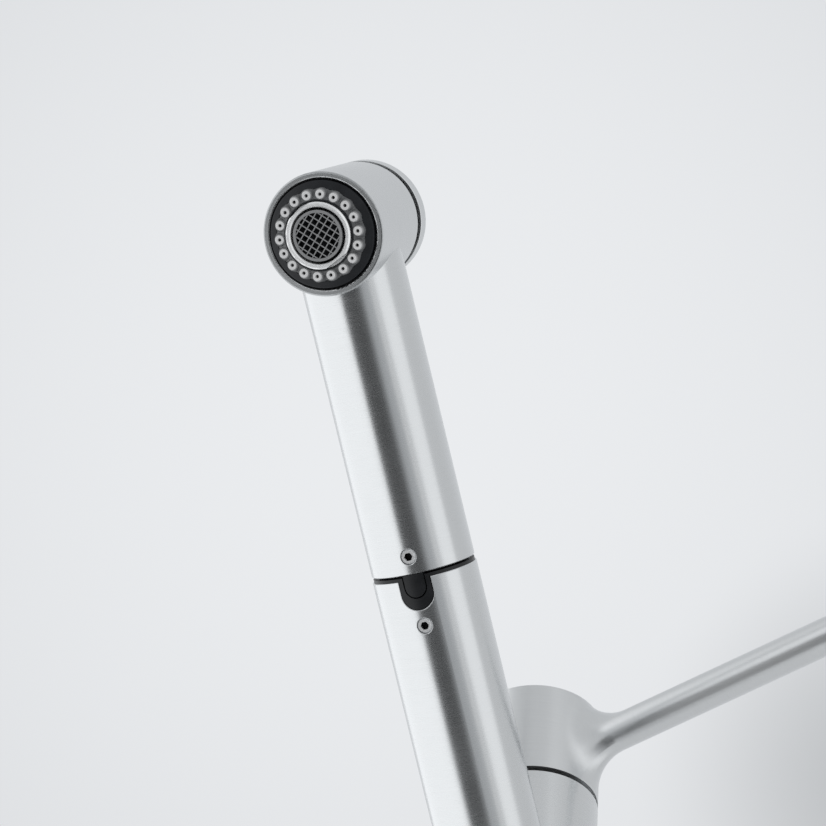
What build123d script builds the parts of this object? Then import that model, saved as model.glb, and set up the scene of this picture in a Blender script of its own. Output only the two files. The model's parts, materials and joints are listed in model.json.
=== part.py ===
from build123d import *
from math import asin, cos, degrees, hypot, radians, sin, sqrt
import os

# A single-lever kitchen mixer with a straight, slanted spout and a pull-out spray handset docked in its top end.
# Millimetres. Origin on the body axis at the deck, +Z up, the spout leans towards -Y and the lever is at +X.

# ---------------------------------------------------------------- driving dimensions
# The slanted tube and the head
TUBE_RISE = 40.0            # degrees, spout tube above the horizontal
JUNCTION_HEIGHT = 85.0      # spout axis meets the body axis this high above the deck
TUBE_LENGTH = 257.6         # from the body axis to the head axis, along the tube
SPOUT_OD = 34.8
SPOUT_WALL = 2.4
HANDSET_OD = 34.4
HANDSET_WALL = 2.2
HANDSET_REACH = 112.9       # head axis to the handset's lower rim
SEAM = 1.9                  # handset rim to spout rim
HEAD_OD = 40.0
HEAD_WALL = 2.2
HEAD_FRONT = 20.3           # head axis crossing to the head's front edge
HEAD_REAR = 19.9            # head axis crossing to the head's rear edge

HEAD_ROUND = 0.6            # the front's outer and inner edges

# The domed face
FACE_STANDS = 0.8           # black face plate's outer edge above the metal ring around it
FACE_GAP = 0.55             # shadow groove between the two
FACE_GROOVE = 2.5           # depth of that groove below the metal ring
FACE_PEAK = 4.0             # height of the face cone where it meets the aerator, above its outer edge
FACE_DEPTH = 5.3            # thickness of the black face plate at its rim
FACE_AERATOR_GAP = 0.3
NOZZLES = 18
NOZZLES_OUT = 2.35          # circle of the nozzles outside the aerator ring
NOZZLE_BAND = 3.4           # width of the soft band between the nozzles
NOZZLE_BAND_DEPTH = 2.2
NOZZLE_TIP_R = 1.45
NOZZLE_BASE_R = 2.1
NOZZLE_BORE_R = 0.55
NOZZLE_RISE = 1.3           # nozzle tip above the face cone at its centre, which is also its taper's height
NOZZLE_TURN = 13.9          # degrees, the first nozzle from the head's right
NOZZLE_BAND_SUNK = 0.25     # soft band below the face cone
NOZZLE_SUPPLY_R = 0.9
AERATOR_OD = 21.5
AERATOR_LEDGE = 0.95        # ring's head beyond its thread
AERATOR_WALL = 0.7          # thread to bore
AERATOR_FLAT_DEPTH = 0.85
AERATOR_FLATS_TURN = 114.0  # degrees, direction of the first flat
AERATOR_RISE = 0.8          # aerator ring above the face cone's peak
AERATOR_RING_H = 2.2        # visible height of the ring
AERATOR_CHAMFER = 0.5
AERATOR_LEAD = 0.4
AERATOR_LENGTH = 11.0
AERATOR_SEAL_H = 1.6
AERATOR_SEAL_BORE_R = 6.5
AERATOR_SEAL_REACH = 0.6    # seal below the screw ring's end
CORE_FLANGE_H = 3.0
CORE_HOLES = 8
CORE_HOLE_R = 0.7
CORE_HOLE_CIRCLE_R = 4.5
GRILLE_GAP = 0.9            # grille to the screw ring's bore
GRILLE_RIM = 0.9
GRILLE_PITCH = 2.08
GRILLE_BAR = 0.34
GRILLE_DEPTH = 1.4
GRILLE_TURN = 45.2          # degrees
GRILLE_BARS_EACH_SIDE = 3
GRILLE_BOSS_R = 0.5
GRILLE_SUNK = 0.1           # grille's rim below the screw ring
GRILLE_BAR_SUNK = 0.15      # bars below the grille's rim
GRILLE_SKIRT = 2.0          # rim's skirt below the bars

# The button behind the head
BUTTON_TRAVEL = 2.0
BUTTON_SPARE = 2.1          # gap left behind the head when the button is pushed in
BUTTON_BOSS_H = 0.8
BUTTON_THICKNESS = 6.2
BUTTON_CHAMFER = 1.0
BUTTON_RIM = 0.8            # flat front rim of the button's wall
BUTTON_MOUTH = 1.2          # bevel inside the rim
BUTTON_WALL = 2.0
SPINDLE_OD = 7.9
SPINDLE_END_GAP = 0.4       # left beyond the spindle's tip when the button is pushed in
SPINDLE_SEAL_IN = 1.6       # front seal behind the spindle's tip
SPINDLE_SEALS_APART = 13.0
SPINDLE_BORE_PLAY = 0.08    # radial clearance of the spindle's seat
SEAL_CORD = 1.2             # O-ring section
SEAL_SIDE_PLAY = 0.1
SEAL_RUN = 0.05             # O-ring to the wall that it slides on
SEAL_LAND = 0.3             # a foot seal stands this far outside its channel
SPINDLE_BORE_END = 9.0      # the spindle's bore ends here along the head's axis
JET_BORE_R = 3.0            # from the spindle's bore to the aerator's chamber
JET_CHAMBER_PLAY = 0.5      # aerator's chamber around its thread
SPRAY_BODY_BORE_DEPTH = 6.0  # how far the water tube enters the spray body
WATER_BORE_R = 3.2
BULKHEAD_RECESS = 0.2
BULKHEAD_THICKNESS = 5.0
BULKHEAD_BOSS_R = 17.2      # black boss that fills the gap between the head and the button
BULKHEAD_BOSS_BORE = 9.0
BULKHEAD_BOSS_H = 3.3       # beyond the head's rear edge
SPRING_R = 6.6
SPRING_WIRE = 0.8
SPRING_TURNS = 4
SPRING_SEAT_DEPTH = 2.2
SPRING_SEAT_PLAY = 1.0      # groove beyond the coil's centre line, each side
SPRING_END_GAP = 0.05

# The dock
DOCK_TURN = 4.0             # degrees, slot, tongue and screws round the tube from its front, towards the lever
SLOT_WIDTH = 10.9
SLOT_DEPTH = 10.1
SLOT_LINER_SUNK = 0.2       # liner in the slot below the tube's outside
SLOT_LINER_GAP = 0.25       # liner in the slot to the slot's wall
TONGUE_WIDTH = 6.8
TONGUE_LENGTH = 7.7
TONGUE_PLAY = 0.4
TONGUE_SUNK = 0.3           # tongue below the tube's outside
TONGUE_ROOT = 0.5           # tongue's root inside the spigot
TONGUE_TOP_GAP = 0.05       # tongue's top to the handset's rim
LINER_LIP = 1.1             # the liner stands this far above the spout rim
LINER_LIP_INSET = 0.5       # lip inside the tube's outside
LINER_LENGTH = 36.0
LINER_WALL = 1.4
LINER_SEAL_UP = 6.0         # dock seal above the liner's end
DOCK_PLAY = 0.3             # spigot to the liner's bore
SPIGOT_BELOW_RIM = 40.0
SPIGOT_ABOVE_RIM = 22.0
SPIGOT_TAPER = 1.5
SPIGOT_NECK = 6.0           # neck around the water tube
SPIGOT_SEAL_UP = 20.0       # spigot seal above the spigot's end
SHOULDER_GAP = 0.3          # spigot shoulder above the liner
SCREW_HOLE = 5.2
SCREW_OD = 5.0
SCREW_SOCKET = 2.5
SCREW_RECESS = 0.35
SCREW_CHAMFER = 0.5
SCREW_TIP_GAP = 0.4
SCREW_LAND = 2.0            # wall between the handset's set screw and the valve
UPPER_SCREW_ABOVE_RIM = 5.7
LOWER_SCREW_BELOW_RIM = 15.3
HOSE_THREAD_R = 6.95        # M15x1 minor radius
HOSE_THREAD_DEPTH = 14.0
VALVE_OD = 13.0
VALVE_LENGTH = 12.0
VALVE_CORE_R = 3.0
VALVE_CORE_IN = 1.0         # core below the valve's lower end face
VALVE_CORE_TOP = 2.5        # core below the valve's upper end face
WATER_TUBE_OD = 12.0
WATER_TUBE_BORE = 8.5
GUIDE_LENGTH = 12.0
GUIDE_WALL = 2.4
GUIDE_LEAD = 2.0
GUIDE_LEAD_OUT = 1.2
GUIDE_FROM_AXIS = 62.0      # guide's lower end from the body axis, along the tube

# The body column, the cartridge and the lever
COLUMN_OD = 44.0
COLUMN_WALL = 2.5
HUB_TOP_ABOVE_JUNCTION = 109.7
HUB_HEIGHT = 35.0
HUB_TOP_PLATE = 4.0
PIVOT_BELOW_TOP = 30.0      # the lever tilts about this level
HUB_WALL = 2.6
ROD_BELOW_TOP = 20.9        # rod axis crosses the hub axis this far down
ROD_OD = 12.5
ROD_RISE = 10.0             # degrees
ROD_AZIMUTH = -10.0         # degrees from +X, negative towards the spout's side
ROD_REACH = 128.0           # rod tip from the hub axis, along the rod
ROD_FLARE_R = 16.0
ROD_TIP_FILLET = 1.2
LIFT = 20.0                 # degrees of lever lift
DOME_GAP = 0.4
DOME_WALL = 1.2
SEAT_GAP = 0.5              # hub's sweep to the spherical seat
DOME_TOP_ANGLE = 5.0        # degrees below the pivot where the dome's open top begins
DOME_FOOT_MARGIN = 2.0      # degrees of dome past the hub's lip at full lift
NUT_TOP_DEPTH = 19.0        # depths are measured down from the tilt pivot
NUT_HEIGHT = 5.0
CUP_WALL = 2.4              # waterway block around the cartridge nut
NUT_NOTCH = (3.0, 4.0, 3.0)
CARTRIDGE_TO_DOME = 1.4     # cartridge's neck to the dome's neck
CARTRIDGE_STEP = 1.4        # cartridge's foot beyond its neck
CARTRIDGE_WALL = 1.1
CARTRIDGE_LIP_IN = 1.1      # lip over the turret's flange
CARTRIDGE_TOP_DEPTH = 5.0
CARTRIDGE_LIP = 2.9
CARTRIDGE_FOOT_DEPTH = 38.0
TURRET_PLAY = 0.1
TURRET_SLOT_PLAY = 0.15     # stem to the turret's slot, each side
TURRET_SLOT_HALF = 7.2      # turret's slot from the axis, along the lever
TURRET_TOP = 4.0            # above the pivot
TURRET_RIM_PLAY = 0.3
TURRET_FLANGE_H = 1.5
TURRET_FLANGE_PLAY = 0.1
STEM_SIZE = 6.0
STEM_TOP = 17.5             # above the pivot
STEM_FOOT = 2.0             # square part's end below the pivot
STEM_EYE_R = 3.5
STEM_END_GAP = 0.5          # stem's top to the adapter's socket
STEM_PIN_R = 1.5
STEM_PIN_PLAY = 0.06
STEM_PIN_SHORT = 0.6        # pin's ends inside the turret's wall
STEM_BALL_R = 2.5
STEM_BALL_DEPTH = 14.0      # ball centre below the pivot
STEM_ARM_R = 1.7
CARRIER_PLAY = 0.5          # carrier to the cartridge's wall at full lift
CARRIER_TOP_DEPTH = 10.0
CARRIER_HEIGHT = 7.0
POCKET_PLAY = 0.35          # stem's ball to its pocket
POCKET_FLOOR_PLAY = 0.15
POCKET_SHOULDER = 1.5       # pocket's narrow part ends this far above the ball's centre
POCKET_MOUTH = 7.0          # room for the stem's arm as it tilts
DISC_WINDOW_R = 2.2
DISC_WINDOW_DEPTH = 1.5
DISC_HEIGHT = 3.0
DISC_PLAY = 0.1
FIXED_DISC_HEIGHT = 3.5
ADAPTER_GAP = 3.4           # adapter to the hub's bore
ADAPTER_LENGTH = 14.0
CLAMP_ABOVE_PIVOT = 15.5    # clamp screw's height
CLAMP_RECESS = 1.0          # clamp screw's head inside the adapter
PLUG_PLAY = 0.05
PLUG_RECESS = 0.2
BLOCK_BASE = 20.7           # waterway block below the cartridge
PORT_TO_POST = 0.3          # ports inside the post's bore, seen from below
PORT_THREAD_R = 4.5         # M10x1 minor radius
PORT_DEPTH = 10.0
PORT_BORE_R = 2.4
CHANNEL_R = 1.8
CHANNEL_WALL = 0.5          # plug's wall around the foot seals

# The base
FLANGE_STEP = 4.0           # flange beyond the column
FLANGE_HEIGHT = 8.0
FLANGE_CHAMFER = 1.2
GASKET_INSET = 1.5
GASKET_WIDTH = 3.5
GASKET_DEPTH = 2.0
GLIDE_RING = 1.2
RUNNING_GAP = 0.3
POST_WALL = 2.0             # post's bore to the root of its thread
POST_TOP = 60.0
COLLAR_PLAY = 0.5           # collar inside the column's bore
COLLAR_HEIGHT = 3.0
BEARING_HEIGHT = 10.0
BEARING_WALL = 2.45
BEARING_PLAY = 0.05
SHANK_STEP = 0.5            # shank below the deck inside the post's outside
SHANK_LENGTH = 62.0
SHANK_PLAIN = 8.0
THREAD_PITCH = 2.0
THREAD_DEPTH = 0.9
THREAD_CREST = 0.2          # shares of the pitch
THREAD_ROOT = 0.1
GLIDE_RECESS = 0.2          # glide ring inside the column's outside
STOP_HEIGHT = 30.0
STOP_HALF_RANGE = 70.0      # degrees of swivel each way
STOP_TIP_R = 2.0
STOP_GROOVE_DEPTH = 2.0
STOP_PLAY = 0.2
DECK_THICKNESS = 30.0
WASHER_OD = 54.0
RUBBER_WASHER_H = 3.0
STEEL_WASHER_H = 2.5
NUT_FLATS = 46.0
FIXING_NUT_H = 12.0
NUT_CROWN = 0.6             # height of the nut's bevel to its depth at the corners
NUT_PLAY = 0.1

# small edge breaks and seats
EDGE = 0.3
EDGE_BREAK = 0.2            # rims, slot and screw holes of the slanted tube
SEAT = 0.1                  # radial gap between pieces that are screwed or pushed together
CUT = 1.0                   # cutters run this far past what they cut

# ---------------------------------------------------------------- places worked out from them
hub_top = JUNCTION_HEIGHT + HUB_TOP_ABOVE_JUNCTION
pivot_height = hub_top - PIVOT_BELOW_TOP
head_y = -TUBE_LENGTH * cos(radians(TUBE_RISE))
head_z = JUNCTION_HEIGHT + TUBE_LENGTH * sin(radians(TUBE_RISE))

column = Plane.XY
# along the tube: z runs down from the head axis, y points out through the dock's slot
along_tube = Plane(
    origin=(0, head_y, head_z),
    x_dir=(
        cos(radians(DOCK_TURN)),
        sin(radians(DOCK_TURN)) * sin(radians(TUBE_RISE)),
        sin(radians(DOCK_TURN)) * cos(radians(TUBE_RISE)),
    ),
    z_dir=(0, cos(radians(TUBE_RISE)), -sin(radians(TUBE_RISE))),
)
# along the head: z is the spray direction, y runs up the tube
along_head = Plane(
    origin=(0, head_y, head_z),
    x_dir=(1, 0, 0),
    z_dir=(0, -sin(radians(TUBE_RISE)), -cos(radians(TUBE_RISE))),
)
# at the tilt pivot: x is the lever's heading, z is up
at_pivot = Plane(
    origin=(0, 0, pivot_height),
    x_dir=(cos(radians(ROD_AZIMUTH)), sin(radians(ROD_AZIMUTH)), 0),
    z_dir=(0, 0, 1),
)

# at the same height, but square to the body, which the lever's turn leaves alone
pivot_level = Plane(origin=(0, 0, pivot_height))

spout_r = SPOUT_OD / 2
spout_bore_r = spout_r - SPOUT_WALL
spout_rim = HANDSET_REACH + SEAM
column_r = COLUMN_OD / 2
column_bore_r = column_r - COLUMN_WALL
hub_bottom_depth = HUB_HEIGHT - PIVOT_BELOW_TOP
hub_bore_r = column_r - HUB_WALL
hub_sweep_r = hypot(column_r, hub_bottom_depth)
seat_r = hub_sweep_r + SEAT_GAP
dome_r = hub_bore_r - DOME_GAP


# ---------------------------------------------------------------- small helpers
def cylinder(place, r, low, high):
    """A cylinder along the plane's normal, from low to high."""
    return place * Pos(0, 0, low) * Cylinder(r, high - low, align=(Align.CENTER, Align.CENTER, Align.MIN))


def ring(place, r, bore, low, high):
    return cylinder(place, r, low, high) - cylinder(place, bore, low - CUT, high + CUT)


def turned(place, *profile):
    """A solid of revolution about the plane's normal, from (radius, height) points."""
    outline = Polyline(*[(r, 0, h) for r, h in profile], close=True)
    return place * revolve(make_face(outline), Axis.Z)


def block(place, size, centre):
    return place * Pos(*centre) * Box(*size)


def o_ring(place, centre_r, height):
    return place * Pos(0, 0, height) * Torus(centre_r, SEAL_CORD / 2)


def seal_groove(place, inner_r, outer_r, height):
    """A square groove for an O-ring at that height."""
    half = SEAL_CORD / 2 + SEAL_SIDE_PLAY
    return ring(place, outer_r, inner_r, height - half, height + half)


def set_screw(place, tip, head):
    """A socket set screw along the plane's normal, its hexagon socket at the head end."""
    body = cylinder(place, SCREW_OD / 2, tip, head)
    body = chamfer(body.edges().sort_by(Axis(place.origin, place.z_dir))[-1], SCREW_CHAMFER)
    hexagon = place * Pos(0, 0, head - SCREW_SOCKET) * RegularPolygon(SCREW_SOCKET / 2 / cos(radians(30)), 6)
    return body - extrude(hexagon, SCREW_SOCKET + CUT, dir=place.z_dir)


def axis_distance(axis, point):
    offset = point - axis.position
    return (offset - axis.direction * offset.dot(axis.direction)).length


def break_edges(tube, r, low, high):
    """Bevels the edges on the slanted tube's outside between two distances along it."""
    axis = Axis(along_tube.origin, along_tube.z_dir)
    edges = []
    for edge in tube.edges():
        points = [edge @ share for share in (0, 0.3, 0.7, 1)]
        heights = [(point - axis.position).dot(axis.direction) for point in points]
        if low < min(heights) and max(heights) < high and all(abs(axis_distance(axis, p) - r) < 0.01 for p in points):
            edges.append(edge)
    return chamfer(edges, EDGE_BREAK)


def one(shape):
    """The shape as a single plain solid."""
    return shape.solids()[0] if len(shape.solids()) == 1 else Compound(children=list(shape.solids()))


parts = {}

# ---------------------------------------------------------------- base, fixed to the deck
post_r = column_bore_r - BEARING_PLAY - BEARING_WALL
shank_r = post_r - SHANK_STEP
post_bore_r = shank_r - THREAD_DEPTH - POST_WALL
collar_r = column_bore_r - COLLAR_PLAY
flange_r = column_r + FLANGE_STEP
gasket_r = flange_r - GASKET_INSET
gasket_bore_r = gasket_r - GASKET_WIDTH
collar_top = FLANGE_HEIGHT + COLLAR_HEIGHT
column_bottom = FLANGE_HEIGHT + GLIDE_RING + RUNNING_GAP


def thread_profile(top, bottom):
    """Zigzag of a thread's crests and roots down the outside of the shank."""
    points = []
    flank = (1 - THREAD_CREST - THREAD_ROOT) / 2
    for n in range(int((top - bottom) / THREAD_PITCH)):
        crest = top - n * THREAD_PITCH
        points += [
            (shank_r, crest),
            (shank_r, crest - THREAD_PITCH * THREAD_CREST),
            (shank_r - THREAD_DEPTH, crest - THREAD_PITCH * (THREAD_CREST + flank)),
            (shank_r - THREAD_DEPTH, crest - THREAD_PITCH * (THREAD_CREST + flank + THREAD_ROOT)),
        ]
    return points


def mounting_post():
    thread_top = -SHANK_PLAIN
    thread_bottom = -SHANK_LENGTH + THREAD_PITCH
    post = turned(
        column,
        (post_bore_r, POST_TOP),
        (post_r - EDGE, POST_TOP),
        (post_r, POST_TOP - EDGE),
        (post_r, collar_top),
        (collar_r, collar_top),
        (collar_r, FLANGE_HEIGHT),
        (shank_r, FLANGE_HEIGHT),
        *thread_profile(thread_top, thread_bottom),
        (shank_r - THREAD_DEPTH, -SHANK_LENGTH),
        (post_bore_r, -SHANK_LENGTH),
    )
    tip_half = STOP_TIP_R + STOP_PLAY
    floor_r = post_r - STOP_GROOVE_DEPTH
    half = STOP_HALF_RANGE + degrees(asin(tip_half / floor_r))
    groove = Plane.XZ * Pos((floor_r + post_r + CUT) / 2, STOP_HEIGHT)
    groove *= Rectangle(post_r + CUT - floor_r, 2 * tip_half)
    return post - Rot(0, 0, 90 - half) * revolve(groove, Axis.Z, revolution_arc=2 * half)


parts["mounting_post"] = mounting_post()
parts["base_flange"] = turned(
    column,
    (shank_r + SEAT, 0),
    (gasket_bore_r, 0),
    (gasket_bore_r, GASKET_DEPTH),
    (gasket_r, GASKET_DEPTH),
    (gasket_r, 0),
    (flange_r, 0),
    (flange_r, FLANGE_HEIGHT - FLANGE_CHAMFER),
    (flange_r - FLANGE_CHAMFER, FLANGE_HEIGHT),
    (shank_r + SEAT, FLANGE_HEIGHT),
)
parts["base_gasket"] = ring(column, gasket_r, gasket_bore_r, 0, GASKET_DEPTH)
parts["glide_ring"] = ring(
    column, column_r - GLIDE_RECESS, collar_r + SEAT, FLANGE_HEIGHT, FLANGE_HEIGHT + GLIDE_RING
)


def swivel_bearing(low):
    return ring(column, column_bore_r - BEARING_PLAY, post_r, low, low + BEARING_HEIGHT)


parts["lower_bearing"] = swivel_bearing(collar_top)
parts["upper_bearing"] = swivel_bearing(POST_TOP - BEARING_HEIGHT - EDGE)

rubber_top = -DECK_THICKNESS
steel_top = rubber_top - RUBBER_WASHER_H
nut_top = steel_top - STEEL_WASHER_H
clamp_bore_r = shank_r + NUT_PLAY
parts["rubber_washer"] = ring(column, WASHER_OD / 2, clamp_bore_r, steel_top, rubber_top)
parts["steel_washer"] = ring(column, WASHER_OD / 2, clamp_bore_r, nut_top, steel_top)


def fixing_nut():
    corner = NUT_FLATS / 2 / cos(radians(30))
    nut_bottom = nut_top - FIXING_NUT_H
    nut = extrude(Pos(0, 0, nut_bottom) * RegularPolygon(corner, 6), FIXING_NUT_H)
    crown = turned(
        column,
        (0, nut_bottom),
        (NUT_FLATS / 2, nut_bottom),
        (corner + EDGE, nut_bottom + (corner - NUT_FLATS / 2) * NUT_CROWN),
        (corner + EDGE, nut_top),
        (0, nut_top),
    )
    return (nut & crown) - cylinder(column, clamp_bore_r, nut_bottom - CUT, nut_top + CUT)


parts["fixing_nut"] = fixing_nut()

# ---------------------------------------------------------------- body column and spout, which swivel together
stop_place = Plane(origin=(0, 0, STOP_HEIGHT), x_dir=(1, 0, 0), z_dir=(0, 1, 0))


def tube_bore(end):
    """The slanted tube's bore as a cutter, from well outside the body column to the distance end."""
    return cylinder(along_tube, spout_bore_r, TUBE_LENGTH - 2.5 * column_r, end)


def front_of_tube(s):
    """A plane whose normal points out on the slot's side at the distance s along the tube."""
    return Plane(origin=(along_tube * Pos(0, 0, s)).position, x_dir=along_tube.x_dir, z_dir=along_tube.y_dir)


def screw_hole(s):
    return cylinder(front_of_tube(s), SCREW_HOLE / 2, 0, spout_r + CUT)


def slot(width, depth, inner_r, top):
    """A U-shaped cutter through the front wall, from above the rim at top down to depth below it."""
    bottom = top + depth - width / 2
    start = top - SPOUT_OD / 4
    size = (width, spout_r + CUT - inner_r, bottom - start)
    straight = block(along_tube, size, (0, (spout_r + CUT + inner_r) / 2, (start + bottom) / 2))
    return straight + cylinder(front_of_tube(bottom), width / 2, inner_r, spout_r + CUT)


def body_column():
    shell = ring(column, column_r, column_bore_r, column_bottom, pivot_height)
    shell -= at_pivot * Sphere(seat_r)
    return shell - tube_bore(TUBE_LENGTH) - cylinder(stop_place, SCREW_HOLE / 2, 0, column_r + CUT)


def spout_tube():
    tube = ring(along_tube, spout_r, spout_bore_r, spout_rim, TUBE_LENGTH)
    tube -= cylinder(column, column_r, 0, hub_top)
    tube -= slot(SLOT_WIDTH, SLOT_DEPTH, 0, spout_rim)
    tube -= screw_hole(spout_rim + LOWER_SCREW_BELOW_RIM)
    return break_edges(tube, spout_r, spout_rim - CUT, spout_rim + LOWER_SCREW_BELOW_RIM + SCREW_HOLE)


parts["body_column"] = body_column()
parts["spout_tube"] = spout_tube()

liner_top = spout_rim - LINER_LIP
liner_bottom = spout_rim + LINER_LENGTH
liner_r = spout_bore_r - SEAT
liner_bore_r = liner_r - LINER_WALL
spigot_r = liner_bore_r - DOCK_PLAY
liner_front_r = spout_r - SLOT_LINER_SUNK
dock_seal_s = liner_bottom - LINER_SEAL_UP
dock_seal_r = spigot_r + SEAL_RUN + SEAL_CORD / 2


def dock_liner():
    """Black sleeve in the spout's end. It lines the U-slot, and its lip stands above the rim."""
    sleeve = ring(along_tube, liner_r, liner_bore_r, spout_rim, liner_bottom)
    lip = ring(along_tube, spout_r - LINER_LIP_INSET, liner_bore_r, liner_top, spout_rim)
    fill = slot(SLOT_WIDTH - 2 * SLOT_LINER_GAP, SLOT_DEPTH - SLOT_LINER_GAP, liner_bore_r, spout_rim)
    fill &= ring(along_tube, liner_front_r, liner_bore_r, liner_top, spout_rim + SLOT_DEPTH)
    liner = sleeve + lip + fill
    liner -= slot(TONGUE_WIDTH + 2 * TONGUE_PLAY, TONGUE_LENGTH - SEAM + TONGUE_PLAY, 0, spout_rim)
    liner -= cylinder(front_of_tube(spout_rim + LOWER_SCREW_BELOW_RIM), SCREW_OD / 2, 0, spout_r)
    return liner - seal_groove(along_tube, liner_bore_r - CUT, dock_seal_r + SEAL_CORD / 2, dock_seal_s)


parts["dock_liner"] = dock_liner()
parts["dock_seal"] = o_ring(along_tube, dock_seal_r, dock_seal_s)
parts["dock_set_screw"] = set_screw(
    front_of_tube(spout_rim + LOWER_SCREW_BELOW_RIM), liner_bore_r + SCREW_TIP_GAP, spout_r - SCREW_RECESS
)

guide_end = TUBE_LENGTH - GUIDE_FROM_AXIS
guide_start = guide_end - GUIDE_LENGTH
guide_bore_r = spout_bore_r - SEAT - GUIDE_WALL
parts["hose_guide"] = turned(
    along_tube,
    (spout_bore_r - SEAT, guide_end),
    (spout_bore_r - SEAT, guide_start),
    (guide_bore_r + GUIDE_LEAD_OUT, guide_start),
    (guide_bore_r, guide_start + GUIDE_LEAD),
    (guide_bore_r, guide_end - GUIDE_LEAD),
    (guide_bore_r + GUIDE_LEAD_OUT, guide_end),
)
stop_shoulder = post_r + SCREW_TIP_GAP
parts["swivel_stop_screw"] = set_screw(stop_place, stop_shoulder, column_r - SCREW_RECESS) + cylinder(
    stop_place, STOP_TIP_R, post_r - STOP_GROOVE_DEPTH + RUNNING_GAP, stop_shoulder
)

# ---------------------------------------------------------------- waterway block, cartridge, seat and dome
lip_angle = degrees(asin(hub_bottom_depth / hub_bore_r))
dome_foot_angle = lip_angle + LIFT + DOME_FOOT_MARGIN
dome_foot_depth = dome_r * sin(radians(dome_foot_angle))
dome_neck_r = dome_r * cos(radians(dome_foot_angle))
dome_neck_bore_r = dome_neck_r - DOME_WALL

port_places = {"hot": 180, "cold": 0, "outlet": 90}
port_circle_r = post_bore_r - PORT_TO_POST - PORT_THREAD_R
block_floor = pivot_height - CARTRIDGE_FOOT_DEPTH
block_bottom = block_floor - BLOCK_BASE
nut_bottom_depth = NUT_TOP_DEPTH + NUT_HEIGHT
nut_r = column_bore_r - CUP_WALL - 2 * SEAT
neck_r = dome_neck_bore_r - CARTRIDGE_TO_DOME
neck_bore_r = neck_r - CARTRIDGE_WALL
mouth_r = neck_bore_r - CARTRIDGE_LIP_IN
cartridge_r = neck_r + CARTRIDGE_STEP


def waterway_block():
    """Brass block with three screwed ports below, and the cup for the cartridge and its nut above."""
    cup_top = pivot_height - NUT_TOP_DEPTH
    body = cylinder(column, column_bore_r - SEAT, block_bottom, cup_top)
    body -= cylinder(column, cartridge_r + SEAT, block_floor, cup_top)
    body -= cylinder(column, nut_r + SEAT, pivot_height - nut_bottom_depth, cup_top + CUT)
    body -= tube_bore(TUBE_LENGTH + column_r)
    for angle in port_places.values():
        port = Rot(0, 0, angle) * Pos(port_circle_r, 0, 0)
        body -= port * cylinder(column, PORT_THREAD_R, block_bottom - CUT, block_bottom + PORT_DEPTH)
        body -= port * cylinder(column, PORT_BORE_R, block_bottom, block_floor + CUT)
    return body


def cartridge_housing():
    top = -CARTRIDGE_TOP_DEPTH
    shell = turned(
        at_pivot,
        (mouth_r, top),
        (neck_r, top),
        (neck_r, -nut_bottom_depth),
        (cartridge_r, -nut_bottom_depth),
        (cartridge_r, -CARTRIDGE_FOOT_DEPTH + EDGE),
        (neck_bore_r, -CARTRIDGE_FOOT_DEPTH + EDGE),
        (neck_bore_r, top - CARTRIDGE_LIP),
        (mouth_r, top - CARTRIDGE_LIP),
    )
    return shell


fixed_disc_top = CARRIER_TOP_DEPTH + CARRIER_HEIGHT + DISC_HEIGHT + DISC_PLAY
fixed_disc_bottom = fixed_disc_top + FIXED_DISC_HEIGHT
plug_r = neck_bore_r - SEAT
foot_seal_r = CHANNEL_R + SEAL_LAND + SEAL_CORD / 2
channel_circle_r = plug_r - CHANNEL_WALL - foot_seal_r - SEAL_CORD / 2


def channel_places():
    return [Rot(0, 0, angle) * Pos(channel_circle_r, 0, 0) for angle in port_places.values()]


def cartridge_plug():
    """Base of the cartridge, with three channels and a seal around each at its foot."""
    body = cylinder(pivot_level, plug_r, -CARTRIDGE_FOOT_DEPTH, -fixed_disc_bottom)
    for place in channel_places():
        body -= place * cylinder(pivot_level, CHANNEL_R, -CARTRIDGE_FOOT_DEPTH - CUT, 0)
        body -= place * seal_groove(
            pivot_level, CHANNEL_R, foot_seal_r + SEAL_CORD / 2, -CARTRIDGE_FOOT_DEPTH + SEAL_CORD / 2
        )
    return body


def cartridge_seals():
    height = -CARTRIDGE_FOOT_DEPTH + SEAL_CORD / 2
    return Compound(children=[place * o_ring(pivot_level, foot_seal_r, height) for place in channel_places()])


parts["waterway_block"] = waterway_block()
parts["cartridge_housing"] = cartridge_housing()
parts["cartridge_plug"] = cartridge_plug()
parts["cartridge_seals"] = cartridge_seals()


def fixed_disc():
    """Ceramic disc with a round window over each channel."""
    disc = cylinder(pivot_level, plug_r, -fixed_disc_bottom, -fixed_disc_top)
    for place in channel_places():
        disc -= place * cylinder(pivot_level, CHANNEL_R, -fixed_disc_bottom - CUT, -fixed_disc_top + CUT)
    return disc


parts["fixed_disc"] = fixed_disc()


def cartridge_nut():
    nut = ring(pivot_level, nut_r, neck_r + SEAT, -nut_bottom_depth, -NUT_TOP_DEPTH)
    for angle in range(0, 360, 90):
        nut -= Rot(0, 0, angle) * block(pivot_level, NUT_NOTCH, (nut_r, 0, -NUT_TOP_DEPTH))
    return nut


parts["cartridge_nut"] = cartridge_nut()


def dome_cover():
    """Polished spherical cap under the hub, with a short neck that stands on the cartridge nut."""
    top_depth = dome_r * sin(radians(DOME_TOP_ANGLE))
    shell = at_pivot * Sphere(dome_r) - at_pivot * Sphere(dome_r - DOME_WALL)
    shell &= ring(at_pivot, dome_r + CUT, dome_neck_bore_r, -dome_foot_depth, -top_depth)
    return shell + ring(at_pivot, dome_neck_r, dome_neck_bore_r, -NUT_TOP_DEPTH, -dome_foot_depth)


def seat_ring():
    """Ring inside the column's top with the spherical seat that the hub's rim sweeps over."""
    body = ring(at_pivot, column_bore_r - SEAT, dome_neck_r + SEAT, -NUT_TOP_DEPTH, 0)
    return body - at_pivot * Sphere(seat_r)


parts["dome_cover"] = dome_cover()
parts["seat_ring"] = seat_ring()

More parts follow.
